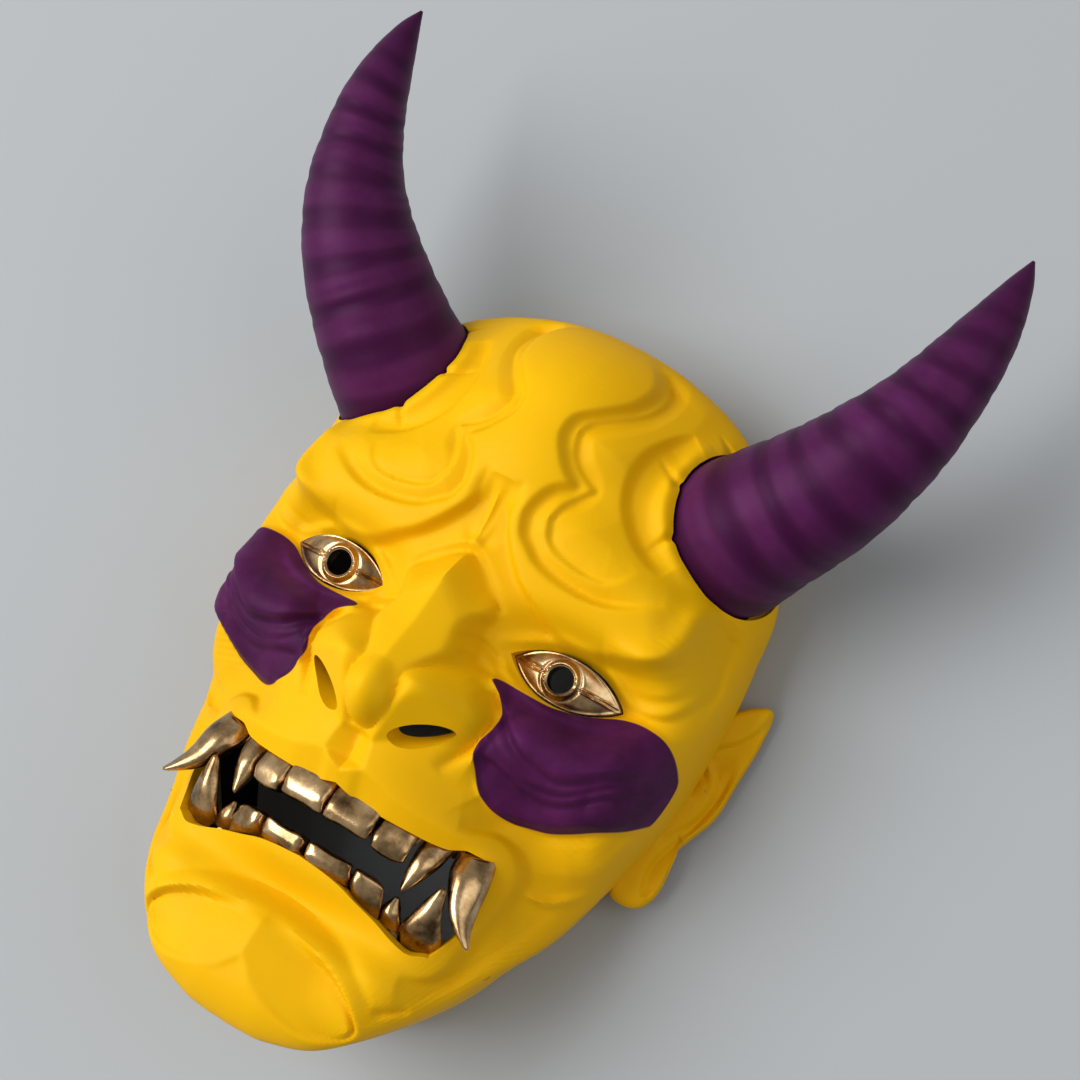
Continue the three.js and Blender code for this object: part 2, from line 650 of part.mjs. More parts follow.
function geometryOf(corners) {
  const geometry = new THREE.BufferGeometry();
  geometry.setAttribute('position', new THREE.Float32BufferAttribute(corners.flat(), 3));
  const merged = mergeVertices(geometry, 1e-3);
  const { array } = merged.index;
  const kept = [];
  for (let i = 0; i < array.length; i += 3) {
    const [a, b, c] = [array[i], array[i + 1], array[i + 2]];
    if (a !== b && b !== c && c !== a) kept.push(a, b, c);
  }
  merged.setIndex(kept);
  return merged;
}

// The solid inside a closed surface, turned right side out where its triangles wind the other way
function toSolid(geometry) {
  const vertProperties = Float32Array.from(geometry.attributes.position.array);
  const triVerts = Uint32Array.from(geometry.index.array);
  const solid = new wasm.Manifold(new wasm.Mesh({ numProp: 3, vertProperties, triVerts }));
  if (solid.volume() > 0) return solid;
  return new wasm.Manifold(new wasm.Mesh({ numProp: 3, vertProperties, triVerts: triVerts.reverse() }));
}

function toGeometry(solid) {
  const mesh = solid.getMesh();
  const geometry = new THREE.BufferGeometry();
  geometry.setAttribute('position', new THREE.BufferAttribute(mesh.vertProperties, 3));
  geometry.setIndex(new THREE.BufferAttribute(mesh.triVerts, 1));
  return geometry;
}

// A closed solid lofted through rings of points, with a flat end or a point at each end
function loft(rings) {
  const corners = [];
  const n = rings[0].length;
  for (let k = 0; k < rings.length - 1; k += 1) {
    for (let i = 0; i < n; i += 1) {
      const j = (i + 1) % n;
      const [a, b, c, d] = [rings[k][i], rings[k][j], rings[k + 1][j], rings[k + 1][i]];
      corners.push(a, b, c, a, c, d);
    }
  }
  const middle = (ring) => ring[0].map((_v, c) => ring.reduce((sum, p) => sum + p[c], 0) / n);
  const [first, last] = [rings[0], rings[rings.length - 1]];
  const [start, end] = [middle(first), middle(last)];
  for (let i = 0; i < n; i += 1) {
    const j = (i + 1) % n;
    corners.push(start, first[j], first[i], end, last[i], last[j]);
  }
  return geometryOf(corners);
}

// Rings of a round tapering bar along a line of [x, y, z, radius]
function barRings(line, sides, radiusOf = (r) => r) {
  const path = line.map((p) => new THREE.Vector3(p[0], p[1], p[2]));
  const side = new THREE.Vector3(0, 0, 1).cross(path[path.length - 1].clone().sub(path[0])).normalize();
  return path.map((centre, k) => {
    const [back, ahead] = [path[Math.max(k - 1, 0)], path[Math.min(k + 1, path.length - 1)]];
    const along = ahead.clone().sub(back).normalize();
    const v = along.clone().cross(side).normalize();
    const u = v.clone().cross(along).normalize();
    const r = radiusOf(line[k][3], k);
    return Array.from({ length: sides }, (_, i) => {
      const angle = (i / sides) * 2 * Math.PI;
      const [c, s] = [r * Math.cos(angle), r * Math.sin(angle)];
      return centre.clone().addScaledVector(u, c).addScaledVector(v, s).toArray();
    });
  });
}

const mirrorX = (geometry) => {
  const copy = geometry.clone();
  copy.scale(-1, 1, 1);
  const index = copy.index.array.slice();
  for (let i = 0; i < index.length; i += 3) [index[i], index[i + 1]] = [index[i + 1], index[i]];
  copy.setIndex(new THREE.BufferAttribute(index, 1));
  return copy;
};

// Horns, with shallow rings at even steps
const hornLine = through(HORN, HORN_STEPS);
const ringed = (r, k) => r + (k % 2 ? RING_RISE : -RING_RISE) * Math.min(r / 12, 1);
const horn = loft(barRings(hornLine, HORN_SIDES, ringed).slice(1));
const holeRings = barRings(hornLine, HORN_SIDES, (r) => r + RING_RISE + GAP);
const hornHole = loft(holeRings.slice(0, HORN_HOLE_STEPS));

// A closed plate round a centre, out to an outline, from the heights of its two faces; hole is the
// radius of a round hole at the centre, or 0
function plate([cx, cy], line, hole, rings, topZ, bottomZ) {
  const point = (share, i, heightOf) => {
    const [x, y] = line[i];
    const angle = Math.atan2(y - cy, x - cx);
    const px = THREE.MathUtils.lerp(cx + hole * Math.cos(angle), x, share);
    const py = THREE.MathUtils.lerp(cy + hole * Math.sin(angle), y, share);
    return [px, py, heightOf(px, py, share)];
  };
  const corners = [];
  const add = (a, b, c, d) => corners.push(a, b, c, a, c, d);
  line.forEach((_p, i) => {
    const j = (i + 1) % line.length;
    for (let k = 0; k < rings.length - 1; k += 1) {
      const [s, t] = [rings[k], rings[k + 1]];
      add(point(s, i, topZ), point(t, i, topZ), point(t, j, topZ), point(s, j, topZ));
    }
    add(point(0, i, bottomZ), point(0, j, bottomZ), point(1, j, bottomZ), point(1, i, bottomZ));
    add(point(1, i, topZ), point(1, i, bottomZ), point(1, j, bottomZ), point(1, j, topZ));
    if (hole > 0) add(point(0, i, topZ), point(0, j, topZ), point(0, j, bottomZ), point(0, i, bottomZ));
  });
  return geometryOf(corners);
}

// Eye plate: an almond with a round pupil in a raised ring
const eyeLine = curve([[19, -3.6], [26, -2.6], [33, -2.2], [40, -3.6], [49, -8.4]]);
const eyeMiddle = (EYE_IN_X + EYE_OUT_X) / 2;
const eyeOutline = Array.from({ length: 32 }, (_, i) => {
  const k = i < 16 ? i : 32 - i;
  const x = THREE.MathUtils.lerp(EYE_IN_X, EYE_OUT_X, 1 - k / 16);
  return [eyeMiddle + EYE_FIT[0] * (x - eyeMiddle), EYE_FIT[1] * lidY(x, i < 16 ? 1 : -1)];
});
const eyeTop = (x, _y, share) => (
  eyeLine(x) + EYE_BULGE * (1 - share ** 2) + (share < 0.2 ? PUPIL_RING : 0)
);
const eyeBottom = (x) => eyeLine(x) - EYE_PLATE;
const eye = plate([PUPIL_X, 0], eyeOutline, PUPIL_RADIUS, [0, 0.1, 0.5, 1], eyeTop, eyeBottom);

// Ear: a pointed plate that grows out of the side of the head, dished inside its rim
const earPlane = (x) => EAR_FRONT_Z - EAR_SLOPE * (x - EAR_FRONT_X);
const earOutline = through([...EAR, EAR[0]], 32).slice(0, 32);
const earDish = curve([[0, -2], [0.4, -1.2], [0.66, 0.4], [0.88, 0], [1, -2.4]]);
const earTop = (x, _y, share) => earPlane(x) + earDish(share);
const earBack = (x) => earPlane(x) - EAR_THICK;
const ear = plate(EAR_CENTRE, earOutline, 0, [0, 0.4, 0.66, 0.88, 1], earTop, earBack);

// Nostril: a slanting oval hole into the hollow of the nose
const ellipseRing = ([x, y, z], [a, b], turn, sides) => Array.from({ length: sides }, (_, i) => {
  const angle = (i / sides) * 2 * Math.PI;
  const [u, v] = [a * Math.cos(angle), b * Math.sin(angle)];
  return [x + u * Math.cos(turn) - v * Math.sin(turn), y + u * Math.sin(turn) + v * Math.cos(turn), z];
});
const nostril = loft(NOSTRIL.map((c) => ellipseRing(c, [6.4, 2.6], NOSTRIL_TURN, 12)));

// A tooth through stations of centre, half width and half depth, turned to follow the arch;
// lean slants its ends, so that the root follows the edge of the lip
function tooth({ turn, lean = 0, stations }) {
  const a = THREE.MathUtils.degToRad(turn);
  const bow = (v) => 1.08 * Math.sign(v) * Math.abs(v) ** 0.7;
  return loft(stations.map(([x, y, z, wide, deep], k) => Array.from({ length: TOOTH_SIDES }, (_, i) => {
    const angle = ((i + 0.5) / TOOTH_SIDES) * 2 * Math.PI;
    const [u, v] = [wide * bow(Math.cos(angle)), deep * bow(Math.sin(angle))];
    const slant = k === 0 ? lean * u : 0.5 * lean * u;
    return [x + u * Math.cos(a) - v * Math.sin(a), y + slant, z + u * Math.sin(a) + v * Math.cos(a)];
  })));
}

// A set of teeth on a gum bar that lies behind the lip; side is +1 for the upper set
function teeth(set, lipY, side) {
  const stations = [-34, -26, -18, -9, 0, 9, 18, 26, 34];
  let solid = toSolid(loft(stations.map((x) => {
    const out = lipY(Math.abs(x)) + side * GUM_HIDDEN;
    const inn = lipY(Math.abs(x)) - side * GUM_SHOWN;
    const [high, low] = [out, inn].map((y) => lining(Math.abs(x), y) - GUM_GAP);
    return [[x, out, high], [x, inn, low], [x, inn, low - GUM_THICK], [x, out, high - GUM_THICK]];
  })));
  set.forEach((row) => {
    const one = tooth(row);
    solid = solid.add(toSolid(one)).add(toSolid(mirrorX(one)));
  });
  return toGeometry(solid);
}

let shell = toSolid(geometryOf(soup));
for (const side of [(g) => g, mirrorX]) {
  shell = shell.add(toSolid(side(ear)));
  shell = shell.subtract(toSolid(side(hornHole)));
  shell = shell.subtract(toSolid(side(nostril)));
}

const mask = new THREE.Group();
function piece(name, geometry, colour, roughness, metalness) {
  const material = new THREE.MeshStandardMaterial({ color: colour, roughness, metalness });
  const mesh = new THREE.Mesh(geometry.translate(0, -MID_Y, RIM_BELOW_PUPILS), material);
  mesh.name = name;
  mask.add(mesh);
}
piece('mask_shell', toGeometry(shell), 0xf5c400, 0.45, 0);
piece('horn_right', horn.clone(), 0x4a1a45, 0.4, 0);
piece('horn_left', mirrorX(horn), 0x4a1a45, 0.4, 0);
piece('eye_right', eye.clone(), 0xb08a3c, 0.25, 1);
piece('eye_left', mirrorX(eye), 0xb08a3c, 0.25, 1);
piece('upper_teeth', teeth(UPPER, mouthUpY, 1), 0xb08a3c, 0.25, 1);
piece('lower_teeth', teeth(LOWER, mouthLowY, -1), 0xb08a3c, 0.25, 1);

export default mask;
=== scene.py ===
"""Oni mask, dressed for a portrait: carved face, ringed horns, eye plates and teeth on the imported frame.

Shapes are worked out in millimetres about the middle of the line between the pupils (x across the
face, y up the face, z out of it) and moved into the row frame when they become meshes.
"""

import bmesh
import bpy
import numpy as np
from mathutils import Matrix, Vector


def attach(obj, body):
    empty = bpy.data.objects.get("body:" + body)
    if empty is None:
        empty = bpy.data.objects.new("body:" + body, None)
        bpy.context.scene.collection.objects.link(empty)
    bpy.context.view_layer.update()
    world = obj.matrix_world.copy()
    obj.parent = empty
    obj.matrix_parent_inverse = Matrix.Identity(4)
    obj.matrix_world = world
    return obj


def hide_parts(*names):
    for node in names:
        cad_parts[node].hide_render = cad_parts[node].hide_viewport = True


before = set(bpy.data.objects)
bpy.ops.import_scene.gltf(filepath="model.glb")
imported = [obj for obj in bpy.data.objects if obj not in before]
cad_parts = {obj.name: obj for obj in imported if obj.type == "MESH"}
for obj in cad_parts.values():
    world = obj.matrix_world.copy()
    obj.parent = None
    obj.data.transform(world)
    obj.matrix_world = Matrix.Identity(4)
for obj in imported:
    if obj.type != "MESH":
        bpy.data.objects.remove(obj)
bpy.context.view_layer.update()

# Driving dimensions, in millimetres, as in the part's source
PUPIL_X = 33.0
RIM_BELOW_PUPILS = 52.0
MID_Y = 15.29
WALL = 4.0
RIM_LEAN = 4.0
MOUTH_CORNER_X = 37.5
MOUTH_SIDE_X = 41.0
EYE_IN_X, EYE_OUT_X = 19.1, 48.7
EYE_HALF_HEIGHT = 6.5
PUPIL_RADIUS = 3.4
EYE_PLATE = 2.4
EAR_THICK = 6.0

# Wall left under the deepest carving, and how far the hollow stays under the smooth face and its wall
THINNEST = 1.1
UNDER_CARVING = 1.5

# Height of the face: y, and the heights on the middle line and at the near and far x
NEAR_X, FAR_X, END_X = 30.0, 55.0, 70.0
PROFILE = np.array([
    (-112, 12, 9, 4), (-94, 14.5, 12.5, 6), (-84, 13, 10.5, 2), (-76, 6, 6, -8), (-68, 11.5, 6.5, -12),
    (-46, 16.5, 6, -13), (-36, 18.5, 4, -5), (-17, 14, 9.5, 5), (0, 11, 4.5, -3), (14, 11, 8.2, 2.4),
    (24, 12, 9.4, 0.6), (42, 13, 1.5, -11), (60, 9.5, -5, -18), (88, 3, -12, -26)], float)

# Widest line of the head from chin to crown: x, y, depth, radius of the round-over
OUTLINE = np.array([
    (0, -110.5, 4, 12), (5, -110.4, 4, 12), (12, -109.5, 4, 12), (24, -105, 4, 12), (34, -96, 0, 14),
    (42.5, -85, -7, 17), (49, -72, -15, 20), (55.5, -60, -23, 24), (60, -46, -30, 24),
    (64.3, -29, -35, 15), (67, -15, -38, 14),
    (68, 0, -38, 16), (68.2, 15, -38, 18), (67.4, 27, -38, 24), (66, 42, -36, 28), (59.5, 57, -32, 30),
    (49, 70.5, -26, 30), (36, 79.5, -25, 30), (20, 85, -25, 30), (7, 86.8, -25, 30),
    (0, 87, -25, 30)], float)

# Edges of the mouth opening
MOUTH_UP = [(0, -47), (6, -48.5), (14, -49), (24, -49), (29, -48.6), (34, -46.6), (39, -46.6),
            (44, -45.5), (70, -43)]
MOUTH_LOW = [(0, -66.5), (6, -67), (12, -68), (17, -69.6), (23, -71.4), (29, -73.6), (33, -74.4),
             (37.5, -73), (60, -72)]


# Curves and distances
def curve(pairs, q, column=1):
    """Smooth curve through rows without overshoot: cubic pieces whose slopes are harmonic means."""
    rows = np.asarray(pairs, float)
    xs, ys = rows[:, 0], rows[:, column]
    h = np.diff(xs)
    rate = np.diff(ys) / h
    slope = np.zeros_like(ys)
    slope[0], slope[-1] = rate[0], rate[-1]
    product = rate[:-1] * rate[1:]
    total = np.where(product > 0, rate[:-1] + rate[1:], 1.0)
    slope[1:-1] = np.where(product > 0, 2 * product / total, 0.0)
    q = np.clip(q, xs[0], xs[-1])
    k = np.clip(np.searchsorted(xs, q, side="right") - 1, 0, len(h) - 1)
    t = (q - xs[k]) / h[k]
    start = (2 * t ** 3 - 3 * t ** 2 + 1) * ys[k] + (t ** 3 - 2 * t ** 2 + t) * h[k] * slope[k]
    return start + (3 * t ** 2 - 2 * t ** 3) * ys[k + 1] + (t ** 3 - t ** 2) * h[k] * slope[k + 1]


def through(rows, steps, closed=False):
    """Catmull-Rom line through rows: each stretch is the cubic set by its two ends and their neighbours."""
    rows = np.asarray(rows, float)
    if closed:
        n = len(rows)
        u = np.linspace(0, n, steps, endpoint=False)
        i = u.astype(int)
        a, b, c, d = (rows[(i + k) % n] for k in (-1, 0, 1, 2))
    else:
        u = np.linspace(0, len(rows) - 1, steps + 1)
        i = np.minimum(u.astype(int), len(rows) - 2)
        padded = np.vstack([2 * rows[0] - rows[1], rows, 2 * rows[-1] - rows[-2]])
        a, b, c, d = (padded[i + k] for k in (0, 1, 2, 3))
    t = (u - i)[:, None]
    return 0.5 * (2 * b + (c - a) * t + (2 * a - 5 * b + 4 * c - d) * t ** 2
                  + (3 * b - a - 3 * c + d) * t ** 3)


def carved(points):
    """Smooth line through points; a None between points keeps a corner there."""
    stretches, piece = [], []
    for point in points:
        if point is None:
            stretches.append(piece)
            piece = [piece[-1]]
        else:
            piece.append(point)
    stretches.append(piece)
    lines = [through(stretch, 6 * len(stretch)) for stretch in stretches]
    return np.vstack([lines[0]] + [line[1:] for line in lines[1:]])


def nearest(x, y, line):
    """Distance from each point to a polyline, the share of its length there, side (+1 left), stretch."""
    best = np.full(x.shape, np.inf)
    share = np.zeros(x.shape)
    side = np.zeros(x.shape)
    place = np.zeros(x.shape, int)
    step = np.diff(line[:, :2], axis=0)
    length = np.hypot(step[:, 0], step[:, 1])
    run = np.concatenate([[0.0], np.cumsum(length)])
    for k in range(len(step)):
        dx, dy = step[k] / length[k]
        rx, ry = x - line[k, 0], y - line[k, 1]
        t = np.clip(rx * dx + ry * dy, 0, length[k])
        gap = np.hypot(rx - t * dx, ry - t * dy)
        across = dx * ry - dy * rx
        turn = (np.abs(gap - best) < 1e-6) & (np.abs(across) > np.abs(side))
        closer = gap < best - 1e-6
        side = np.where(closer | turn, across, side)
        best = np.where(closer, gap, best)
        share = np.where(closer, (run[k] + t) / run[-1], share)
        place = np.where(closer, k, place)
    return best, share, np.sign(side), place


def bell(value, width):
    """Bell curve of height 1."""
    return np.exp(-(value / width) ** 2)


def unit(value):
    """Keeps a value between 0 and 1."""
    return np.clip(value, 0, 1)


def fade(share, start, end):
    """Strength along a carved line: rises from its start and falls to its end as the power 0.7."""
    a = unit(share / start) ** 0.7 if start > 0 else 1.0
    b = unit((1 - share) / end) ** 0.7 if end > 0 else 1.0
    return a * b


def join(a, b, k):
    """Higher of two heights, with the corner between them rounded over the width k."""
    h = unit(0.5 + 0.5 * (a - b) / k)
    return b * (1 - h) + a * h + k * h * (1 - h)


def mound(x, y, centre, radii):
    """Top of an ellipsoid, dropping away fast outside its outline."""
    u, v = (x - centre[0]) / radii[0], (y - centre[1]) / radii[1]
    q = 1 - u * u - v * v
    return centre[2] + radii[2] * np.where(q > 0, np.sqrt(np.maximum(q, 0)), 1.5 * q)


# Carving of the face
# Terraces: a crest along the line, a steep bevel down on one side, and a slow rise back.
# drop, bevel, rise, low side (+1 left of travel), fades, line
TERRACES = [
    # lower edge of the brow, over the eye
    (4.8, 2.6, 15, -1, .10, .05, [(4.6, 37), (4.6, 32), (5.8, 28.5), (8, 25), (11, 21), (15, 16.8),
        (20, 13.4), (25, 10.6), (30, 9.2), (36, 9.4), (42, 11), (47, 12), (51, 13.6), (54.2, 16),
        (55.8, 19.5), (56.2, 24), (55.8, 29), (57, 34)]),
    # lower edge of the frown, over the root of the nose
    (2.6, 2.4, 7, -1, .02, .30, [(-3, 18.4), (0, 19.2), (4, 17.6), (8, 14.6), (11.5, 11.6), (15, 8.6)]),
    # folds beside the eye
    (1.8, 1.6, 4, -1, .25, .15, [(38, 8.6), (44, 9.6), (49, 10.2), (53, 11.2), (56.5, 13.6), (58.4, 17),
        (59.4, 22), (59.6, 27)]),
    (1.6, 1.6, 4, -1, .25, .15, [(45, 6.6), (49, 6.4), (53, 7), (57, 9), (59.6, 12.6), (61, 17),
        (61.6, 22)]),
    (1.8, 1.6, 5, -1, .25, .15, [(47, 3.6), (51, 2.8), (55, 3), (59, 5), (61.6, 9), (62.6, 14),
        (63, 19)]),
    # outer wave of the forehead, turning at a cusp into the ring of the brow
    (2.6, 2.3, 5.6, 1, .06, .12, [(10, 83), (14, 80.5), (16, 78), (17, 75), (16.5, 71.5), (15, 68),
        (10.5, 63), (7.5, 60), (6.2, 57.5), (6, 54), (7, 51), (9, 48), (11, 45.5), (14, 43), None,
        (11, 40.4), (9, 36.6), (8, 32), (8.6, 29), (10, 26), (13, 23.6), (16, 21.4), (20, 20), (24, 19.2),
        (29, 18.8), (33, 19), (38, 20.2), (43, 22.5), (49, 26)]),
    # inner wave, turning into the oval of the brow
    (1.9, 1.5, 8.5, 1, .06, .16, [(15, 82), (18, 79), (20, 75), (19.5, 70), (16.5, 65.5), (12.5, 61.5),
        (10.2, 59), (9.3, 56), (9.8, 53), (11.4, 49.5), (14.5, 46.5), (19, 44), None, (17, 41), (15, 37),
        (14.3, 33), (15, 30.5), (16.3, 28), (19, 26), (23, 24.8), (27, 24.2), (31, 24.2), (34, 25),
        (37, 27.4), (39, 31)]),
    # crescent beside the horn's collar
    (2.6, 2.4, 12, 1, .15, .15, [(30, 71), (27.5, 67.5), (25.5, 63.5), (24.2, 60), (23.8, 55), (24.2, 51),
        (25.3, 47), (27.5, 43), (30.5, 39.5), (34, 36.5), (38, 34.3), (43, 32.5)]),
    # steps of the cheek
    (3.0, 1.9, 4.5, -1, .08, .10, [(22.5, -9), (26, -12), (31, -15.7), (34, -18), (37, -19.4),
        (41, -20.4), (45, -20.8), (49, -19), (53, -16), (57, -13), (61, -11), (65, -11), (68, -12)]),
    (1.7, 1.4, 4.5, -1, .38, .10, [(26, -16), (30, -20), (33, -22.3), (37, -24), (41, -24.8), (46, -24),
        (50, -21.8), (54, -18.3), (58, -15), (62, -13), (67, -14)]),
    (2.4, 1.5, 9.0, -1, .06, .10, [(26.4, -24), (29, -24.4), (32, -25), (37, -26.6), (42, -27.4),
        (46, -26.6), (50, -24.5), (54, -21), (58, -18), (62, -15.5), (67, -16)]),
    # lower edge of the cheek's plate
    (3.4, 2.2, 9, 1, .12, .20, [(66.6, -17), (64, -22), (60.5, -25), (55, -28), (50, -30.8), (46, -32.6),
        (42, -33.8), (38, -34.6), (34, -34.2), (31, -32.4)]),
    # folds between the nose and the eye
    (1.5, 1.4, 4, -1, .15, .25, [(8.5, -1.6), (10.5, -0.4), (13, 0), (16, -1), (20.5, -3)]),
    (1.5, 1.4, 4, -1, .15, .25, [(10, -5.4), (12, -4.6), (14.5, -4.4), (17.5, -5.4), (20.5, -7.4)]),
    # roll round the corner of the mouth
    (3.0, 1.8, 9, 1, .15, .15, [(30, -43.6), (33, -42.6), (37, -41), (41, -41.8), (44, -44.6),
        (45.3, -48.5), (44.8, -54), (43.4, -61), (42, -68), (41, -74), (38.6, -77.6), (34, -79)]),
    # fold between the wing of the nose and the cheek
    (1.8, 1.6, 7, 1, .25, .20, [(14, -8.4), (17, -7.6), (21, -8), (24.6, -11), (26.8, -16), (26.4, -21),
        (25.6, -27), (28, -31.4), (33, -35)]),
    # crest over the pads of the chin
    (0.7, 0.9, 6, -1, .02, .25, [(-3, -82), (3, -82), (9, -82.6), (14, -83.6), (20, -85.4), (25, -88),
        (29, -91.5), (31.5, -96)]),
]

# Folds: a groove with soft shoulders. depth, half width, fades, line
FOLDS = [
    # frown between the brows
    (1.6, 1.3, .25, .10, [(4.8, 38), (4.6, 30), (3.8, 24), (1.5, 19.5)]),
    (0.8, 1.1, .30, .10, [(1.2, 34), (1.0, 27), (0, 20.5)]),
    # groove round the wing of the nose
    (3.2, 1.5, .20, .30, [(17, -9.4), (20, -10.2), (23, -12.8), (25.1, -16.2), (25, -20.5), (23.4, -25),
        (21, -30), (19.5, -33)]),
    # jaw and chin
    (1.3, 1.1, .20, .20, [(33, -90), (36, -88.2), (39.5, -86)]),
    (1.6, 2.2, 0, .40, [(0, -77), (10, -78), (18, -80), (26, -84), (32, -89), (34, -93)]),
]

# Rolls: a raised bead along the line. height, half width, fades, line
ROLLS = [
    (2.0, 1.5, .20, .25, [(15, 1), (20, 4), (27, 7.4), (35, 8.2), (43, 7), (51, 2)]),
    (1.4, 1.1, .20, .25, [(17, -2), (24, -5.9), (34, -7.9), (44, -6.4), (52, -2)]),
    (1.3, 1.1, .20, .15, [(46, -49.6), (49, -50.1), (53, -49.3), (56, -47.2), (58, -45), (59.5, -42.6)]),
    # corner of the brow
    (3.0, 3.6, .30, .15, [(40, 10.4), (47, 12.2), (51, 13.8), (54, 16.2), (55.6, 19.6), (56, 24),
        (55.6, 29), (56.8, 34)]),
    # collar round the horn
    (1.2, 2.2, .15, .15, [(36, 70), (33.5, 64), (33, 57), (34.5, 50), (38.5, 43.5), (44.5, 38.5),
        (53, 35)]),
]

# Cuts that run out from the horn
NOTCH_DEPTH = 1.6
NOTCHES = [[(34.5, 56.5), (30.5, 58.5), (26.5, 61)], [(40, 43.2), (37.5, 39.5), (36, 36.5)],
           [(42.5, 68), (39.5, 71.5), (35, 74.5)]]

# Line where the upper lip turns to the mouth, and pads of the chin
LIP_CREST = [(0, -43.2), (3, -42.8), (6, -41.2), (10, -42), (15, -43.6), (22, -44.4), (29, -44.4),
             (36, -43.4)]
CHIN_PAD = [(-6, -83), (3, -82.8), (9, -83.4), (14, -84.5), (20, -86.2), (25, -88.8), (29, -92), (31.6, -96),
            (30, -100), (25, -102.3), (20, -103), (14, -102), (9, -100.3), (4, -98), (0.5, -94.5), (-6, -91)]

# Middle line of the horn from its root: x, y, z, radius
HORN = np.array([
    (46, 48.5, -26, 20.3), (50.6, 53, -19.8, 20.2), (57, 59.2, -13.2, 18.9), (63.6, 66, -8.3, 17.7),
    (69.8, 73.5, -3.7, 16.4), (75, 81.5, 0.3, 14.8), (79.6, 90.6, 2.8, 13), (83, 100.6, 4.1, 11),
    (85.6, 111.3, 4.6, 9.1), (87.3, 122.4, 4, 6.7), (88.1, 133.5, 3.1, 3.4), (88.1, 140.7, 2, 0.5)], float)

# Swell of the face at the foot of the horn
COLLAR_HEIGHT, COLLAR_RADIUS = 4.0, 19

# Purple patch of the cheek, as a closed line
CHEEK = [(20, -7.6), (21.5, -6.9), (26, -7), (30, -7.1), (34, -7), (38, -6.2), (42, -4.9), (45.5, -3.3),
         (49, -1.6), (53, -0.6), (57, -0.5), (61, -1.2), (64, -3.4), (66, -7), (67, -12), (66.5, -17),
         (65, -21.5), (61.5, -25.5), (56, -29), (51, -32), (46.5, -34.2), (42, -35.4), (38, -36.2),
         (34, -35.8), (31, -34.2), (28.6, -31.6), (26.8, -28.6), (25.4, -25.4), (25.2, -22.4),
         (26.2, -19.6), (26.6, -17), (26, -13.6), (24, -10.6), (22, -9)]
CHEEK_STEPS = 160
PATCH_HEIGHT, CHEEKBONE_HEIGHT = 0.9, 2.8
CHEEKBONE = [(29, -13), (37, -19), (46, -21.5), (53, -21)]

# The nose by height: its ridge, the slope of its roof and the half width where its outer walls begin
NOSE_RIDGE = [(-30, 31), (-26, 31.5), (-15, 26.4), (-4.5, 20.6), (3, 18), (9, 16.6), (15, 14.6), (24, 13)]
NOSE_SLOPE = [(-30, 0.6), (-15, 0.42), (-8, 0.36), (0, 0.42), (8, 0.5), (16, 0.45)]
NOSE_BORDER = [(-30, 5.2), (-16, 5.4), (-11, 7.4), (-7, 9.4), (0, 8.2), (3, 9), (5, 10.6), (7.5, 11.6),
               (12, 9.6)]
BALL, BALL_RADII = (0, -22.5, 14), (7.2, 10, 16.8)
WING_X, WING_Y, WING_TOP = 9, -17.5, 26.6

# Dish round the eye, and room for the nose behind the face
DISH_AT, DISH_SIZE, DISH_DEPTH = (34, 0.5), (24, 11.5), 7
NOSE_ROOM, NOSE_ROOM_Y = 11, -12

# Dent under the nose, slope of the lip and the pads' height on the middle line
DENT_DEPTH, DENT_HALF, DENT_TOP, DENT_END = 4.0, 4.4, -33, -44
LIP_SLOPE = 0.55
PAD_HEIGHT, PAD_Y = 15.4, -93

outline = through(OUTLINE, 216)


def front(x, y):
    """Front of the head before carving: an even quartic in x through the three profile heights.

    Beyond the end x it stays level.
    """
    mid, near, far = (curve(PROFILE, y, c) for c in (1, 2, 3))
    n2, f2 = NEAR_X ** 2, FAR_X ** 2
    d = n2 * f2 * f2 - f2 * n2 * n2
    a = ((near - mid) * f2 * f2 - (far - mid) * n2 * n2) / d
    b = ((far - mid) * n2 - (near - mid) * f2) / d
    x2 = np.minimum(x * x, END_X ** 2)
    return mid + a * x2 + b * x2 * x2


def socket(x, y):
    """Dish round the eye: a flat-bottomed bell over an ellipse."""
    q = ((x - DISH_AT[0]) / DISH_SIZE[0]) ** 2 + ((y - DISH_AT[1]) / DISH_SIZE[1]) ** 2
    return np.where(q < 4, -DISH_DEPTH * np.exp(-0.9 * q * q), 0.0)


def round_over(z, x, y, inset=0.0, relief=0.0):
    """Turns the face over to the widest line of the head along a quarter of an ellipse.

    Relief is added after the turn, deeper towards the side of the head, where it faces sideways.
    """
    gap, _share, _side, place = nearest(x, y, outline)
    depth, radius = outline[place, 2], outline[place, 3]
    t = unit((gap - inset) / (radius - inset))
    turned = depth + (z - depth) * np.sqrt(np.maximum(1 - (1 - t) ** 2, 0))
    return turned + relief * np.minimum(t / 0.2, 1) * (1 + 0.9 * (1 - t) ** 2)


def beside(x, y, line, reach):
    """Points inside the line's box grown by the reach, with distance, share and side for each."""
    lo, hi = line.min(0) - reach, line.max(0) + reach
    m = (x > lo[0]) & (x < hi[0]) & (y > lo[1]) & (y < hi[1])
    return m, *nearest(x[m], y[m], line)[:3]


def softly(s, edge):
    """Distance past a line, with the corner at the line rounded over the edge width."""
    return 0.5 * (s + np.sqrt(s * s + edge * edge))


def step_up(s, width):
    """Smooth step from 0 to 1 across the width on either side of zero."""
    t = unit(0.5 + 0.5 * s / width)
    return t * t * (3 - 2 * t)


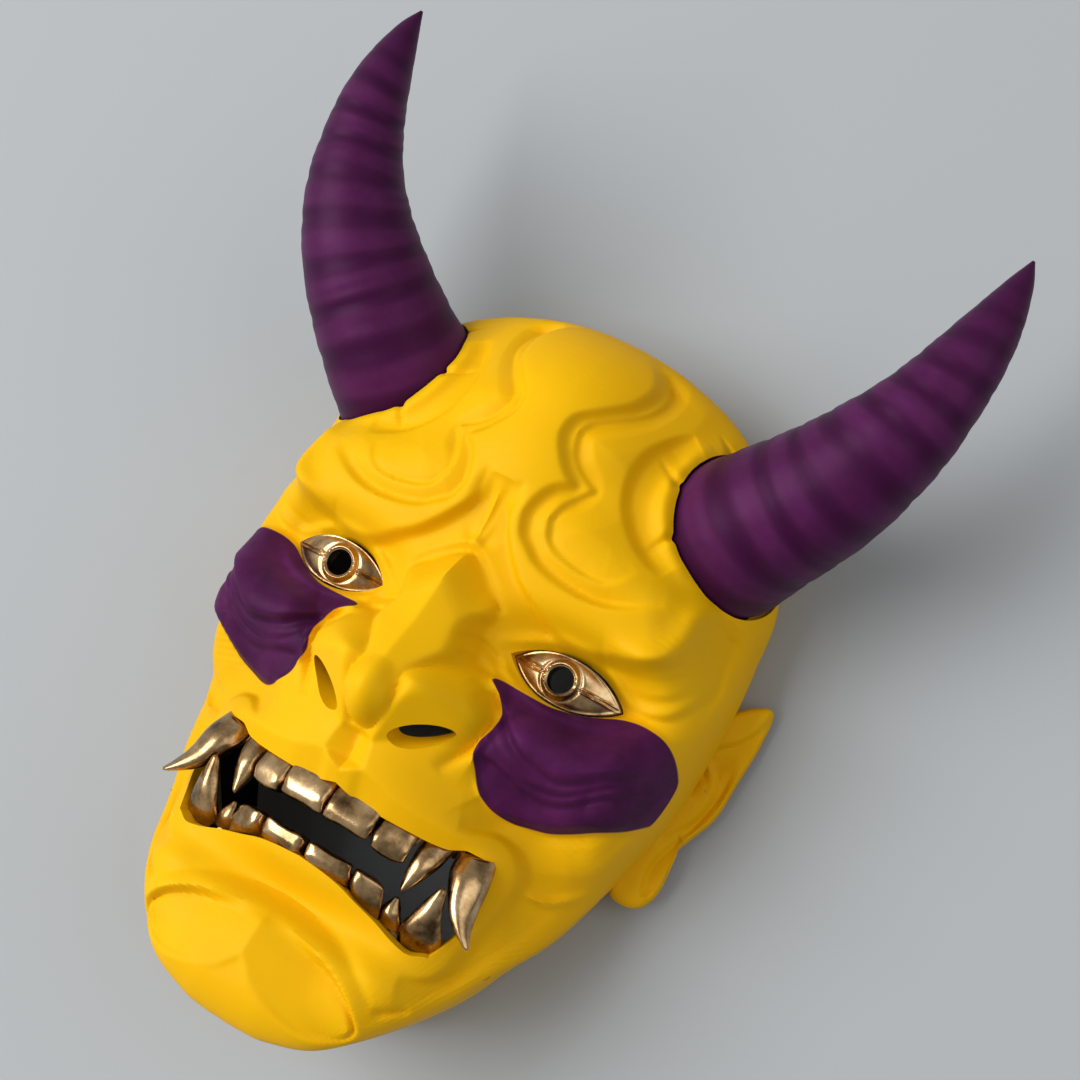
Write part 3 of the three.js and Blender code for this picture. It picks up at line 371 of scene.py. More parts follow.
def within(x, y, points, steps):
    """Signed distance from a closed line, plus inside it, from the crossings of a level ray."""
    line = through(points, steps, closed=True)
    line = np.vstack([line, line[:1]])
    gap = nearest(x, y, line)[0]
    inside = np.zeros(x.shape, bool)
    for (ax, ay), (bx, by) in zip(line[:-1], line[1:]):
        if ay != by:
            inside ^= ((ay > y) != (by > y)) & (x < ax + (y - ay) * (bx - ax) / (by - ay))
    return np.where(inside, gap, -gap)


def carve(x, y, z, terraces, folds, rolls, notches):
    """Adds terraces, folds, rolls and notches, each a profile over the distance from its line.

    A terrace drops along a quarter sine over its bevel and rises back slowly. Folds and rolls are bells
    down and up. A notch is a bell that gets shallower and narrower along its line.
    """
    z = z.copy()
    for drop, bevel, rise, low, start, end, points in terraces:
        m, gap, share, side = beside(x, y, carved(points), rise + bevel + 3)
        s = softly(gap * side * low, 0.3)
        down = np.sin(0.5 * np.pi * unit(s / bevel)) * (1 - unit((s - bevel) / rise)) ** 1.2
        z[m] -= drop * fade(share, start, end) * down
    for sign, power, rows in ((-1, 1.5, folds), (1, 2, rolls)):
        for height, half, start, end, points in rows:
            m, gap, share, _side = beside(x, y, carved(points), 4 * half)
            z[m] += sign * height * np.exp(-(gap / half) ** power) * fade(share, start, end)
    for points in notches:
        m, gap, share, _side = beside(x, y, through(points, 12), 4)
        z[m] -= NOTCH_DEPTH * (1 - share) * bell(gap, 0.3 + 0.9 * (1 - share))
    return z


def nose(x, y, z):
    """Roof of two flat planes with steep outer walls, a ball at the tip and cones for the wings.

    Each wall falls 1.9 for every millimetre outside the border, and the roof ends in a slope above the
    eyes. The cones are cut away underneath by a slanting plane. Joins take the higher of two heights.
    """
    ridge, slope, border = (curve(rows, y) for rows in (NOSE_RIDGE, NOSE_SLOPE, NOSE_BORDER))
    across = np.sqrt(x * x + 0.12)
    roof = ridge - slope * (across - 0.35) - 1.9 * softly(across - border, 0.7)
    roof -= 1.3 * softly(y - 15.3 + 0.1 * across + 0.042 * across ** 2, 0.6)
    roof -= 0.12 * np.maximum(-21 - y, 0) ** 2
    z = join(z, roof, 0.7)
    z = join(z, mound(x, y, BALL, BALL_RADII), 1.8)
    along = (y - WING_Y) * np.where(y > WING_Y, 1.67, 0.5)
    wing = WING_TOP - 1.15 * (np.sqrt((x - WING_X) ** 2 + along ** 2 + 9) - 3)
    under = 16 + 0.9 * (y + 27.2) - 0.887 * (x - 14)
    wing = -join(-wing, -under, 1.0)
    return join(z, wing, 0.8)


def collar(x, y, z):
    """Swell of the face on the nose side of each horn: a bell over the distance from the horn's axis."""
    base, tip = HORN[1, :3], HORN[3, :3]
    along = (tip - base) / np.linalg.norm(tip - base)
    off = np.stack([x, y, z], -1) - base
    away = np.linalg.norm(off - (off @ along)[..., None] * along, axis=-1)
    nose_side = unit((54 - x) / 16) * unit((y - 28) / 14)
    return z + COLLAR_HEIGHT * bell(np.maximum(away - COLLAR_RADIUS, 0), 6.5) * nose_side


def mouth_and_chin(x, y, z):
    """Dent under the nose, upper lip turned in below its crest, and the two flat pads of the chin.

    The dent is the shallower of a fold that falls to the middle line and a slope up to the lip. The lip
    drops in proportion to the distance below its crest. A pad is one plane a side inside its outline.
    """
    across = np.sqrt(x * x + 0.02)
    sides = DENT_DEPTH * (1 - across / (DENT_HALF + 0.2 * (DENT_TOP - y)))
    bottom = 1.1 * (y - DENT_END - 0.6 * across)
    z = z - softly(-join(-sides, -bottom, 0.15), 0.06) * step_up(DENT_TOP - 0.5 - y, 1.0)
    below = softly(curve(LIP_CREST, x) - y, 0.3)
    z = z - LIP_SLOPE * np.minimum(below, 7) * step_up(36 - x, 5) * step_up(y + 56, 4)
    pad = PAD_HEIGHT - 0.16 * (y - PAD_Y) - 0.32 * (np.sqrt(x * x + 0.2) - 0.45)
    m = (y < -76) & (x < 40)
    gap = within(x[m], y[m], CHIN_PAD, 96)
    z[m] += (pad[m] - z[m]) * step_up(gap - 0.6, 1.4)
    return z


def round_cheek(x, y):
    """Points in the box round the cheek's patch."""
    return (y < 4) & (y > -42) & (x > 14)


def cheek(x, y, z):
    """Swelling over the cheekbone and the plate of the cheek, standing a little proud inside its outline."""
    z = z.copy()
    m = (y < 10) & (y > -46) & (x > 12)
    gap, share = nearest(x[m], y[m], through(CHEEKBONE, 24))[:2]
    z[m] += CHEEKBONE_HEIGHT * bell(gap, 8) * fade(share, 0.2, 0.3)
    m = round_cheek(x, y)
    z[m] += PATCH_HEIGHT * step_up(within(x[m], y[m], CHEEK, CHEEK_STEPS) + 0.35, 0.6)
    return z


def face(x, y):
    """Height of the outer face at points of the right half, carved no deeper than just over the hollow."""
    z = front(x, y) + socket(x, y)
    z = nose(x, y, z)
    z = collar(x, y, z)
    z = mouth_and_chin(x, y, z)
    z = cheek(x, y, z)
    carved_z = join(carve(x, y, z, TERRACES, FOLDS, ROLLS, NOTCHES), hollow(x, y) + THINNEST, 0.8)
    return round_over(z, x, y, relief=carved_z - z)


def hollow(x, y):
    """Smooth inside before it is rounded over: one wall behind the face, with room for the nose."""
    room = NOSE_ROOM * np.exp(-((x / 11) ** 2) - ((y - NOSE_ROOM_Y) / 14) ** 2)
    return front(x, y) + socket(x, y) - UNDER_CARVING + room - WALL


def lining(x, y):
    """Height of the inside of the shell."""
    return round_over(hollow(x, y), x, y, WALL)


# Grid of the half face
COLUMNS = (36, 52, 44)
ROWS = (60, 36, 96, 148)
STRIDE = 4
SIDE_REACH = 18
CORNER_LOW, CORNER_HIGH = 36, 180
INNER_COLUMN = [(-110, 13), (-74, 18), (-45, 20), (0, EYE_IN_X), (87, 16)]
OUTER_COLUMN = [(-110, 24), (-74, MOUTH_CORNER_X), (-62, MOUTH_SIDE_X), (-52, MOUTH_SIDE_X),
                (-47, MOUTH_CORNER_X + 1.5), (0, EYE_OUT_X), (40, 44), (87, 34)]
MOUTH_COLUMN = COLUMNS[0] + COLUMNS[1]


def ease_out(t):
    """A share that runs ahead and slows down: a quarter of a sine."""
    return np.sin(0.5 * np.pi * t)


def rows_by_x(part):
    """Rows in the order of x, each x once."""
    rows = part[np.argsort(part[:, 0])]
    return rows[np.concatenate([[True], np.diff(rows[:, 0]) > 1e-9])]


chin_rows = rows_by_x(outline[:CORNER_LOW + 1, :2])
crown_rows = rows_by_x(outline[CORNER_HIGH:, :2])
side_rows = outline[CORNER_LOW:CORNER_HIGH + 1][:, [1, 0]]
column_band = np.concatenate([[0] * (COLUMNS[0] + 1), [1] * COLUMNS[1], [2] * COLUMNS[2]])
column_part = np.concatenate([np.arange(COLUMNS[0] + 1) / COLUMNS[0]]
                             + [np.arange(1, n + 1) / n for n in COLUMNS[1:]])


def column_x(y, side):
    """The x of every column at a height: four stops, with the last band crowding to the side."""
    stops = [0 * y, curve(INNER_COLUMN, y), curve(OUTER_COLUMN, y), side]
    stops = np.stack([np.broadcast_to(s, np.shape(y)) for s in stops], -1)
    part = np.where(column_band == 2, ease_out(column_part), column_part)
    return stops[..., column_band] * (1 - part) + stops[..., column_band + 1] * part


def lid(x, sign):
    """Edge of the eye opening above or below its middle line: a rounded almond."""
    u = np.abs((2 * x - EYE_IN_X - EYE_OUT_X) / (EYE_OUT_X - EYE_IN_X))
    return sign * EYE_HALF_HEIGHT * np.maximum(1 - u ** 2.2, 0) ** 0.9


def side_x(y):
    """The x of the head's widest line at a height."""
    return curve(side_rows, y)


KEY_Y = np.array([outline[CORNER_LOW, 1], -74, -47, 0, outline[CORNER_HIGH, 1]])
KEY_SIDE = np.array([outline[CORNER_LOW, 0], side_x(-72.0), side_x(-44.0), side_x(0.0),
                     outline[CORNER_HIGH, 0]])
MIDDLE_LINE = [(0, 0), (1, 0)]
KEY_LINES = [chin_rows, MOUTH_LOW, MOUTH_UP, MIDDLE_LINE, crown_rows]
key_x = [column_x(y, side) for y, side in zip(KEY_Y, KEY_SIDE)]
key_y = [curve(rows, x) for rows, x in zip(KEY_LINES, key_x)]


def band_points(band):
    """Plan positions of one band of rows, blended from its lower key line to its upper one."""
    t = np.arange(ROWS[band] + 1) / ROWS[band]
    share = (t + 0.35 * (1 - ease_out(1 - t) - t), t, t, t + 0.35 * (ease_out(t) - t))[band][:, None]
    x0, y0, x1, y1 = key_x[band], key_y[band], key_x[band + 1], key_y[band + 1]
    low = y0 + (lid(x0, 1) if band == 3 else 0)
    high = y1 + (lid(x1, -1) if band == 2 else 0)
    y = low * (1 - share) + high * share
    edge_y = y0[-1] * (1 - share[:, 0]) + y1[-1] * share[:, 0]
    key = KEY_Y[band] * (1 - share[:, 0]) + KEY_Y[band + 1] * share[:, 0]
    x = column_x(key, side_x(edge_y))
    bent = y * (1 - column_part ** 4) + edge_y[:, None] * column_part ** 4
    y = np.where(column_band == 2, bent, y)
    x[0], x[-1] = x0, x1
    y[0], y[-1] = low, high
    return x, y


def drawn_in(x, y, by, by_at_side=0.0):
    """Moves points in, square to the nearest stretch of the outline; one part fades away from the side."""
    gap, _share, _side, place = nearest(x, y, outline)
    step = np.diff(outline[:, :2], axis=0)[place]
    length = np.hypot(step[..., 0], step[..., 1])
    shift = by + by_at_side * np.maximum(1 - gap / SIDE_REACH, 0)
    return np.where(x == 0, 0, x - shift * step[..., 1] / length), y + shift * step[..., 0] / length


# Meshes
def to_frame(points):
    """Millimetres about the pupils to metres in the row frame."""
    return (np.asarray(points, float) - (0, MID_Y, -RIM_BELOW_PUPILS)) * 0.001


class Shape:
    """Gathers patches of points and faces that become one mesh."""

    def __init__(self):
        self.points, self.faces, self.kinds, self.count = [], [], [], 0

    def add(self, points):
        """Takes in points and returns the number of the first."""
        start = self.count
        self.points.append(np.asarray(points, float).reshape(-1, 3))
        self.count += len(self.points[-1])
        return start

    def put(self, faces, flip, kind=0):
        """Keeps faces, turned over where asked; kind 1 is the hidden side with a finish of its own."""
        self.faces.append(faces[:, ::-1] if flip else faces)
        self.kinds.append(np.full(len(faces), kind))

    def grid(self, points, flip=False, wrap=False, kind=0):
        """Quads between the rows and columns of a grid of points."""
        rows, cols = points.shape[:2]
        index = self.add(points) + np.arange(rows * cols).reshape(rows, cols)
        if wrap:
            index = np.concatenate([index, index[:, :1]], 1)
        quads = np.stack([index[:-1, :-1], index[:-1, 1:], index[1:, 1:], index[1:, :-1]], -1).reshape(-1, 4)
        self.put(quads, flip, kind)

    def fan(self, ring, centre, flip=False):
        """Triangles from a closed ring to a point."""
        n = len(ring)
        start = self.add(np.vstack([ring, [centre]]))
        i = np.arange(n)
        self.put(np.stack([start + i, start + (i + 1) % n, np.full(n, start + n)], -1), flip)

    def zip(self, fine, coarse, flip=False):
        """Triangles between a fine line and a coarse line with one point for every STRIDE of it."""
        n = len(coarse) - 1
        start = self.add(np.vstack([fine, coarse]))
        f = start + STRIDE * np.arange(n)
        c = start + len(fine) + np.arange(n)
        half = STRIDE // 2
        tris = [np.stack([c, f + k, f + k + 1], -1) for k in range(half)]
        tris += [np.stack([c, f + half, c + 1], -1)]
        tris += [np.stack([c + 1, f + k, f + k + 1], -1) for k in range(half, STRIDE)]
        self.put(np.concatenate(tris), flip)


def placed(name, data):
    """A new object in the scene with this mesh, light or camera."""
    obj = bpy.data.objects.new(name, data)
    bpy.context.scene.collection.objects.link(obj)
    return obj


def smoothed(mesh, sharp=40.0):
    """Shades all faces smooth apart from edges over an angle."""
    mesh.polygons.foreach_set("use_smooth", np.ones(len(mesh.polygons), bool))
    mesh.set_sharp_from_angle(angle=np.radians(sharp))


def stored(obj, name, values):
    """Keeps a value for every vertex of the piece."""
    obj.data.attributes.new(name, "FLOAT", "POINT").data.foreach_set("value", values.astype(np.float32))


def build(name, shape, merge=True, sharp=40.0):
    """Makes the mesh object: doubles merged, normals outwards, smooth apart from sharp edges."""
    points = to_frame(np.concatenate(shape.points))
    mesh = bpy.data.meshes.new(name)
    faces = [f for patch in shape.faces for f in patch.tolist()]
    mesh.from_pydata(points.tolist(), [], faces)
    kinds = np.concatenate(shape.kinds)
    for _kind in range(kinds.max() + 1):
        mesh.materials.append(None)
    mesh.polygons.foreach_set("material_index", kinds)
    bm = bmesh.new()
    bm.from_mesh(mesh)
    if merge:
        bmesh.ops.remove_doubles(bm, verts=bm.verts, dist=2e-6)
        bmesh.ops.dissolve_degenerate(bm, edges=bm.edges, dist=1e-7)
    bmesh.ops.recalc_face_normals(bm, faces=bm.faces)
    bm.to_mesh(mesh)
    bm.free()
    smoothed(mesh, sharp)
    return placed(name, mesh)


def mirrored(points):
    """Points on the other half of the face."""
    return np.asarray(points) * (-1, 1, 1)


def dress(obj, materials, node=None):
    """Gives the piece its finishes and its body, and hides the imported part of the node where one is given.
    """
    for k, material in enumerate(materials):
        obj.data.materials[k] = material
    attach(obj, "root")
    if node:
        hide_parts(node)


# Horns
def ring_angles(sides, start=0.0):
    """Angles of the points of a ring."""
    return (np.arange(sides) + start) / sides * 2 * np.pi


def swept(line, sides, radius):
    """Rings of a round bar along a line; radius is an array over steps and angles."""
    path = line[:, :3]
    side = np.cross((0, 0, 1), path[-1] - path[0])
    along = np.gradient(path, axis=0)
    along /= np.linalg.norm(along, axis=1, keepdims=True)
    v = np.cross(along, side / np.linalg.norm(side))
    v /= np.linalg.norm(v, axis=1, keepdims=True)
    u = np.cross(v, along)
    angle = ring_angles(sides)
    ring = u[:, None] * np.cos(angle)[None, :, None] + v[:, None] * np.sin(angle)[None, :, None]
    return path[:, None] + ring * radius[..., None]


def tube(rings, tip=0.0):
    """Closed solid through rings of points, with its last point moved up the face by the tip."""
    shape = Shape()
    shape.grid(rings, wrap=True)
    shape.fan(rings[0], rings[0].mean(0), flip=True)
    shape.fan(rings[-1], rings[-1].mean(0) + (0, tip, 0))
    return shape


# Mesh of the horn, share of the line that is left out at the root, and relief of its surface
HORN_STEPS, HORN_SIDES = 240, 96
HORN_FROM = 0.055
HORN_TIP = 0.25
SWELL_HEIGHT, RIPPLE_HEIGHT = 0.10, 0.05
BAND_AT_ROOT, BAND_AT_TIP = 11.5, 7.5


def horn_shape():
    """Horn, with the swell of each point: broad swells between narrow grooves that lean round the bar.

    The swell is 1 - 2((1 - cos(phase)) / 2)^3, so its crests are wide and its grooves are tight; the
    phase runs one turn for every band, and the bands shorten towards the tip. The swell, faded out
    towards the tip, is also returned as painted light: painted highlights on the crests and painted
    shade in the grooves of the horn's colour.
    """
    line = through(HORN, HORN_STEPS * 4)
    line = line[int(HORN_FROM * len(line)):]
    length = np.concatenate([[0], np.cumsum(np.linalg.norm(np.diff(line[:, :3], axis=0), axis=1))])
    even = np.linspace(0, length[-1], HORN_STEPS + 1)
    line = np.stack([np.interp(even, length, line[:, c]) for c in range(4)], -1)
    angle = ring_angles(HORN_SIDES)
    s = even[:, None] + 1.7 * np.sin(angle + 0.4) + 0.8 * np.sin(2 * angle + 1.3)
    s = s + 0.9 * np.sin(angle + 0.05 * even[:, None]) * np.sin(0.13 * even[:, None] + 1)
    shrink = (BAND_AT_ROOT - BAND_AT_TIP) / even[-1]
    phase = 2 * np.pi / shrink * np.log(BAND_AT_ROOT / np.maximum(BAND_AT_ROOT - shrink * s, 1))
    swell = 1 - 2 * ((1 - np.cos(phase)) / 2) ** 3
    second = np.sin(2.37 * phase + 1.1 * np.sin(angle + 0.6 * phase))
    taper = unit(line[:, 3:4] / 13) * unit((even[-1] - even[:, None]) / 18)
    radius = line[:, 3:4] + taper * (SWELL_HEIGHT * (swell - 0.6) + RIPPLE_HEIGHT * second) - 0.06
    rings = swept(line, HORN_SIDES, np.maximum(radius, 0.15))
    # Painted light for the horn's colour: the swell, faded out towards the tip, gives painted highlights on
    # the crests and painted shade in the grooves
    painted_light = swell * unit((even[-1] - even[:, None]) / 30)
    ends = [np.append(painted_light[k], painted_light[k].mean()) for k in (0, -1)]
    return tube(rings, HORN_TIP), np.concatenate([painted_light.ravel(), *ends])


def mirror_shape(shape):
    """The same shape on the other half of the face."""
    other = Shape()
    other.points = [mirrored(p) for p in shape.points]
    other.faces = [f[:, ::-1] for f in shape.faces]
    other.kinds = shape.kinds
    other.count = shape.count
    return other


# Shell
def shell_shape():
    """Both halves of the shell: fine outer face, coarse lining, openings and the side wall to the rim."""
    shape = Shape()

    def put(points, flip=False, kind=0):
        """A grid and its mirror image."""
        shape.grid(points, flip, kind=kind)
        shape.grid(mirrored(points), not flip, kind=kind)

    def stitch(fine, coarse, flip=False):
        """The strip between a fine and a coarse line, and its mirror image."""
        shape.zip(fine, coarse, flip)
        shape.zip(mirrored(fine), mirrored(coarse), not flip)

    outer, inner = [], []
    for band in range(4):
        x, y = band_points(band)
        outer.append(np.stack([x, y, face(x, y)], -1))
        cx, cy = drawn_in(x[::STRIDE, ::STRIDE], y[::STRIDE, ::STRIDE], 0.0, WALL)
        inner.append(np.stack([cx, cy, lining(cx, cy)], -1))
    m = MOUTH_COLUMN
    n = m // STRIDE
    for band in range(4):
        put(outer[band][:, m:] if band == 1 else outer[band])
        put(inner[band][:, n:] if band == 1 else inner[band], flip=True, kind=1)
    stitch(outer[1][0, :m + 1], inner[1][0, :n + 1])
    stitch(outer[1][-1, :m + 1], inner[1][-1, :n + 1], flip=True)
    stitch(outer[1][:, m], inner[1][:, n], flip=True)
    e = COLUMNS[0]
    stitch(outer[2][-1, e:m + 1], inner[2][-1, e // STRIDE:n + 1])
    stitch(outer[3][0, e:m + 1], inner[3][0, e // STRIDE:n + 1], flip=True)

    def edge_of(bands):
        """Outer edge of the half face from chin to crown."""
        side = [b[1:, -1] for b in bands]
        return np.concatenate([bands[0][0], *side, bands[3][-1][::-1][1:]])

    def lowered(line, share):
        """The edge on its way back to the rim, leaning in."""
        x, y = drawn_in(line[:, 0], line[:, 1], RIM_LEAN * share ** 1.5)
        return np.stack([x, y, line[:, 2] * (1 - share) - RIM_BELOW_PUPILS * share], -1)

    edge_out, edge_in = edge_of(outer), edge_of(inner)
    wall = np.stack([lowered(edge_out, s) for s in np.linspace(0, 1, 7)])
    wall_in = np.stack([lowered(edge_in, s) for s in np.linspace(0, 1, 4)])
    put(wall, flip=True)
    put(wall_in, kind=1)
    stitch(wall[-1], wall_in[-1])
    return shape


def cut(obj, cutter):
    """Takes the cutter's solid out of the piece and keeps the result as the piece's mesh."""
    m = obj.modifiers.new("cut", "BOOLEAN")
    m.operation = "DIFFERENCE"
    m.solver = "MANIFOLD"
    m.object = cutter
    bpy.context.view_layer.update()
    done = bpy.data.meshes.new_from_object(obj.evaluated_get(bpy.context.evaluated_depsgraph_get()))
    obj.modifiers.clear()
    old = obj.data
    obj.data = done
    bpy.data.meshes.remove(old)
    bpy.data.objects.remove(cutter)
    smoothed(done)


def oval_rings(centres, a, b, turn, sides):
    """Rings of an oval turned in plan, one at each centre."""
    angle = ring_angles(sides)
    u, v = a * np.cos(angle), b * np.sin(angle)
    c, s = np.cos(np.radians(turn)), np.sin(np.radians(turn))
    ring = np.stack([u * c - v * s, u * s + v * c, 0 * u], -1)
    return np.asarray(centres, float)[:, None] + ring


# Gap round the horn in its socket, and the path and oval of the nostril: half lengths and turn
SOCKET_GAP = 0.75
SOCKET_STEPS = 100
NOSTRIL = [(14.6, -33, 27), (14, -27.6, 16), (13.4, -21.9, 8), (12.6, -15.2, -5)]
NOSTRIL_OVAL = (7.4, 3.9, 24)

mask_shell = build("shell", shell_shape())
foot = through(HORN, 220)[:SOCKET_STEPS]
socket_hole = tube(swept(foot, HORN_SIDES, np.repeat(foot[:, 3:4] + SOCKET_GAP, HORN_SIDES, 1)))
nostril = tube(oval_rings(through(NOSTRIL, 15), *NOSTRIL_OVAL, 48))
for cutter in (socket_hole, nostril, mirror_shape(socket_hole), mirror_shape(nostril)):
    cut(mask_shell, build("cutter", cutter))


# Ears
EAR = [(64.5, -5), (65, 5), (67, 14.5), (74.8, 19.6), (76, 10), (75.3, -1.5), (74.5, -12), (71.2, -20.5),
       (69.4, -26), (70.6, -34), (69, -40.4), (65, -42.9), (60, -41.5), (59.5, -34), (63, -20)]
EAR_CENTRE = (68.5, -10)
EAR_HEIGHT, EAR_SLOPE, EAR_INNER_X = -40, 0.3, 61
EAR_TERRACES = [
    # leaf at the top, curl of the rim, and edge of the lobe
    (2.6, 1.2, 16, -1, .02, .02, [(62, -0.6), (63.7, 1.5), (66.4, 4.4), (70.4, 7.9), (73.2, 12),
        (74.6, 16), (75.4, 20)]),
    (1.5, 1.3, 6, 1, .10, .10, [(66, 1), (69.8, -3.2), (71.3, -7.1), (70.4, -13.5), (67, -19.6),
        (64, -24)]),
    (2.0, 1.3, 6, 1, .10, .10, [(68.6, -20.4), (66.4, -26.3), (65.4, -31), (65.8, -35), (67.2, -39)]),
]
EAR_FOLDS = [(1.6, 2.0, .20, .20, [(66.8, -1.6), (66.6, -5), (65, -10)]),
             (1.2, 1.2, .20, .20, [(73.2, 1), (72.9, -8), (70.8, -17), (68.6, -22)])]


def ear_shape():
    """Ear: a leaf between its outline and its centre, folded over at the top and curled at the lobe."""
    rim = through(EAR, 216, closed=True)
    share = np.linspace(0, 1, 45)[:, None]
    x = EAR_CENTRE[0] * (1 - share) + rim[:, 0] * share
    y = EAR_CENTRE[1] * (1 - share) + rim[:, 1] * share
    plane = EAR_HEIGHT - EAR_SLOPE * (x - EAR_INNER_X)
    edge = curve([(0, 0), (0.9, 0), (0.96, -0.5), (1, -2)], share)
    top = np.stack([x, y, carve(x, y, plane + edge, EAR_TERRACES, EAR_FOLDS, [], [])], -1)
    shape = Shape()
    shape.grid(np.concatenate([top, top[:, :1]], 1))
    under = np.stack([x, y, plane - EAR_THICK + 1.2 * share ** 6], -1)
    shape.grid(np.concatenate([under, under[:, :1]], 1), flip=True)
    wall = np.stack([top[-1] * (1 - t) + under[-1] * t for t in np.linspace(0, 1, 6)])
    shape.grid(np.concatenate([wall, wall[:, :1]], 1))
    return shape


ear = ear_shape()
ear_right = build("ear_right", ear)
ear_left = build("ear_left", mirror_shape(ear))


# Eye plates
EYE_LINE = [(19, -3.6), (26, -2.6), (33, -2.2), (40, -3.6), (49, -8.4)]
EYE_FIT = (0.975, 0.93)
EYE_STEPS = 48


def eye_shape():
    """Eye plate: an almond round a pupil hole, domed a little along the share from hole to edge.

    A ring and a groove round the pupil, a rim and a pair of ridges to the corners are bells on top.
    """
    middle = (EYE_IN_X + EYE_OUT_X) / 2
    k = np.concatenate([np.arange(EYE_STEPS), EYE_STEPS - np.arange(EYE_STEPS)])
    x = EYE_IN_X + (EYE_OUT_X - EYE_IN_X) * (0.5 + 0.5 * np.cos(np.pi * k / EYE_STEPS))
    sign = np.where(np.arange(2 * EYE_STEPS) < EYE_STEPS, 1, -1)
    edge = np.stack([middle + EYE_FIT[0] * (x - middle), EYE_FIT[1] * lid(x, sign)], -1)
    angle = np.arctan2(edge[:, 1], edge[:, 0] - PUPIL_X)
    hole = np.stack([PUPIL_X + PUPIL_RADIUS * np.cos(angle), PUPIL_RADIUS * np.sin(angle)], -1)
    share = np.concatenate([np.linspace(0, 0.3, 10), np.linspace(0.33, 0.9, 14), np.linspace(0.92, 1, 5)])
    share = share[:, None]
    px = hole[:, 0] * (1 - share) + edge[:, 0] * share
    py = hole[:, 1] * (1 - share) + edge[:, 1] * share
    from_pupil = np.hypot(px - PUPIL_X, py) - PUPIL_RADIUS
    height = curve(EYE_LINE, px) + 1.6 * (1 - share ** 2)
    height += 0.55 * bell(from_pupil - 0.7, 0.45) - 0.35 * bell(from_pupil - 1.7, 0.5)
    height += 0.35 * bell(1 - share, 0.07)
    ridge = 0.30 * bell(py - 0.45, 0.28) + 0.30 * bell(py + 0.45, 0.28)
    ridge -= 0.25 * bell(py, 0.2)
    height += ridge * unit((from_pupil - 1.6) / 0.8) * unit((1 - share) / 0.15)
    top = np.stack([px, py, height], -1)
    ends = px[[0, -1]]
    bottom = np.stack([ends, py[[0, -1]], curve(EYE_LINE, ends) - EYE_PLATE], -1)
    shape = Shape()
    shape.grid(top, wrap=True)
    shape.grid(bottom, wrap=True, flip=True)
    shape.grid(np.stack([top[-1], bottom[-1]]), wrap=True)
    shape.grid(np.stack([top[0], bottom[0]]), wrap=True, flip=True)
    return shape


eye = eye_shape()
eye_right = build("eye_right_plate", eye)
eye_left = build("eye_left_plate", mirror_shape(eye))


# Teeth
# Turn, lean of the root, and stations from root to tip: centre x, y, z, half width, half depth
UPPER = [
    (-8, 0, [(6.5, -45.2, 7.6, 6.3, 3.2), (6.4, -52, 10.3, 6.4, 3.1), (6.3, -55.8, 10.1, 6.1, 2.5)]),
    (-22, 0, [(17.3, -46.4, 4.4, 4.8, 3.2), (17.4, -53, 7.4, 4.9, 3.1), (17.6, -56.9, 7.3, 4.4, 2.4)]),
    (-35, 0, [(26.5, -46.4, -0.6, 4.1, 3.6), (26.2, -53, 3.4, 3.5, 3.1), (25.6, -57.6, 5, 2.3, 2.2),
              (24.9, -62.4, 6.2, 0.55, 0.6)]),
    (-42, 0.2, [(35.4, -46.6, -2.6, 4.6, 4.2), (36.9, -52.0, 0.3, 5.2, 4.3), (38.8, -58, 2.2, 4.1, 3.3),
                (41.5, -62.8, 3.8, 2.6, 2.3), (45.4, -66.6, 4.8, 0.65, 0.65)]),
]
LOWER = [
    (-12, 0, [(6.3, -67.6, 5.8, 6.2, 4.6), (6.3, -65.2, 8.4, 6.25, 3.7), (6.3, -62.2, 9.8, 6.0, 2.5)]),
    (-30, -0.35, [(17.2, -70.0, 3.0, 4.4, 4.4), (17.1, -66.6, 6.0, 4.6, 3.5), (17.0, -62.6, 7.6, 4.0, 2.4)]),
    (-35, 0, [(23.9, -71.8, -0.6, 3.2, 4.0), (24, -68.2, 2.4, 2.7, 3.0), (24.2, -64, 3.9, 0.6, 0.6)]),
    (-40, 0, [(32.4, -73.6, -4.6, 6.2, 4.8), (32.6, -69.6, -0.4, 5.7, 4.2), (33, -63, 3.8, 3.0, 2.8),
              (33.9, -56.4, 6.2, 0.8, 0.8)]),
]


TOOTH_STEPS, TOOTH_SIDES = 40, 64
BLUNT_FROM = 1
# Gum bar: half its length, reach to either side of the lip, and thickness
GUM_HALF, GUM_OUT, GUM_IN, GUM_THICK = 34, 6, 2, 4.5


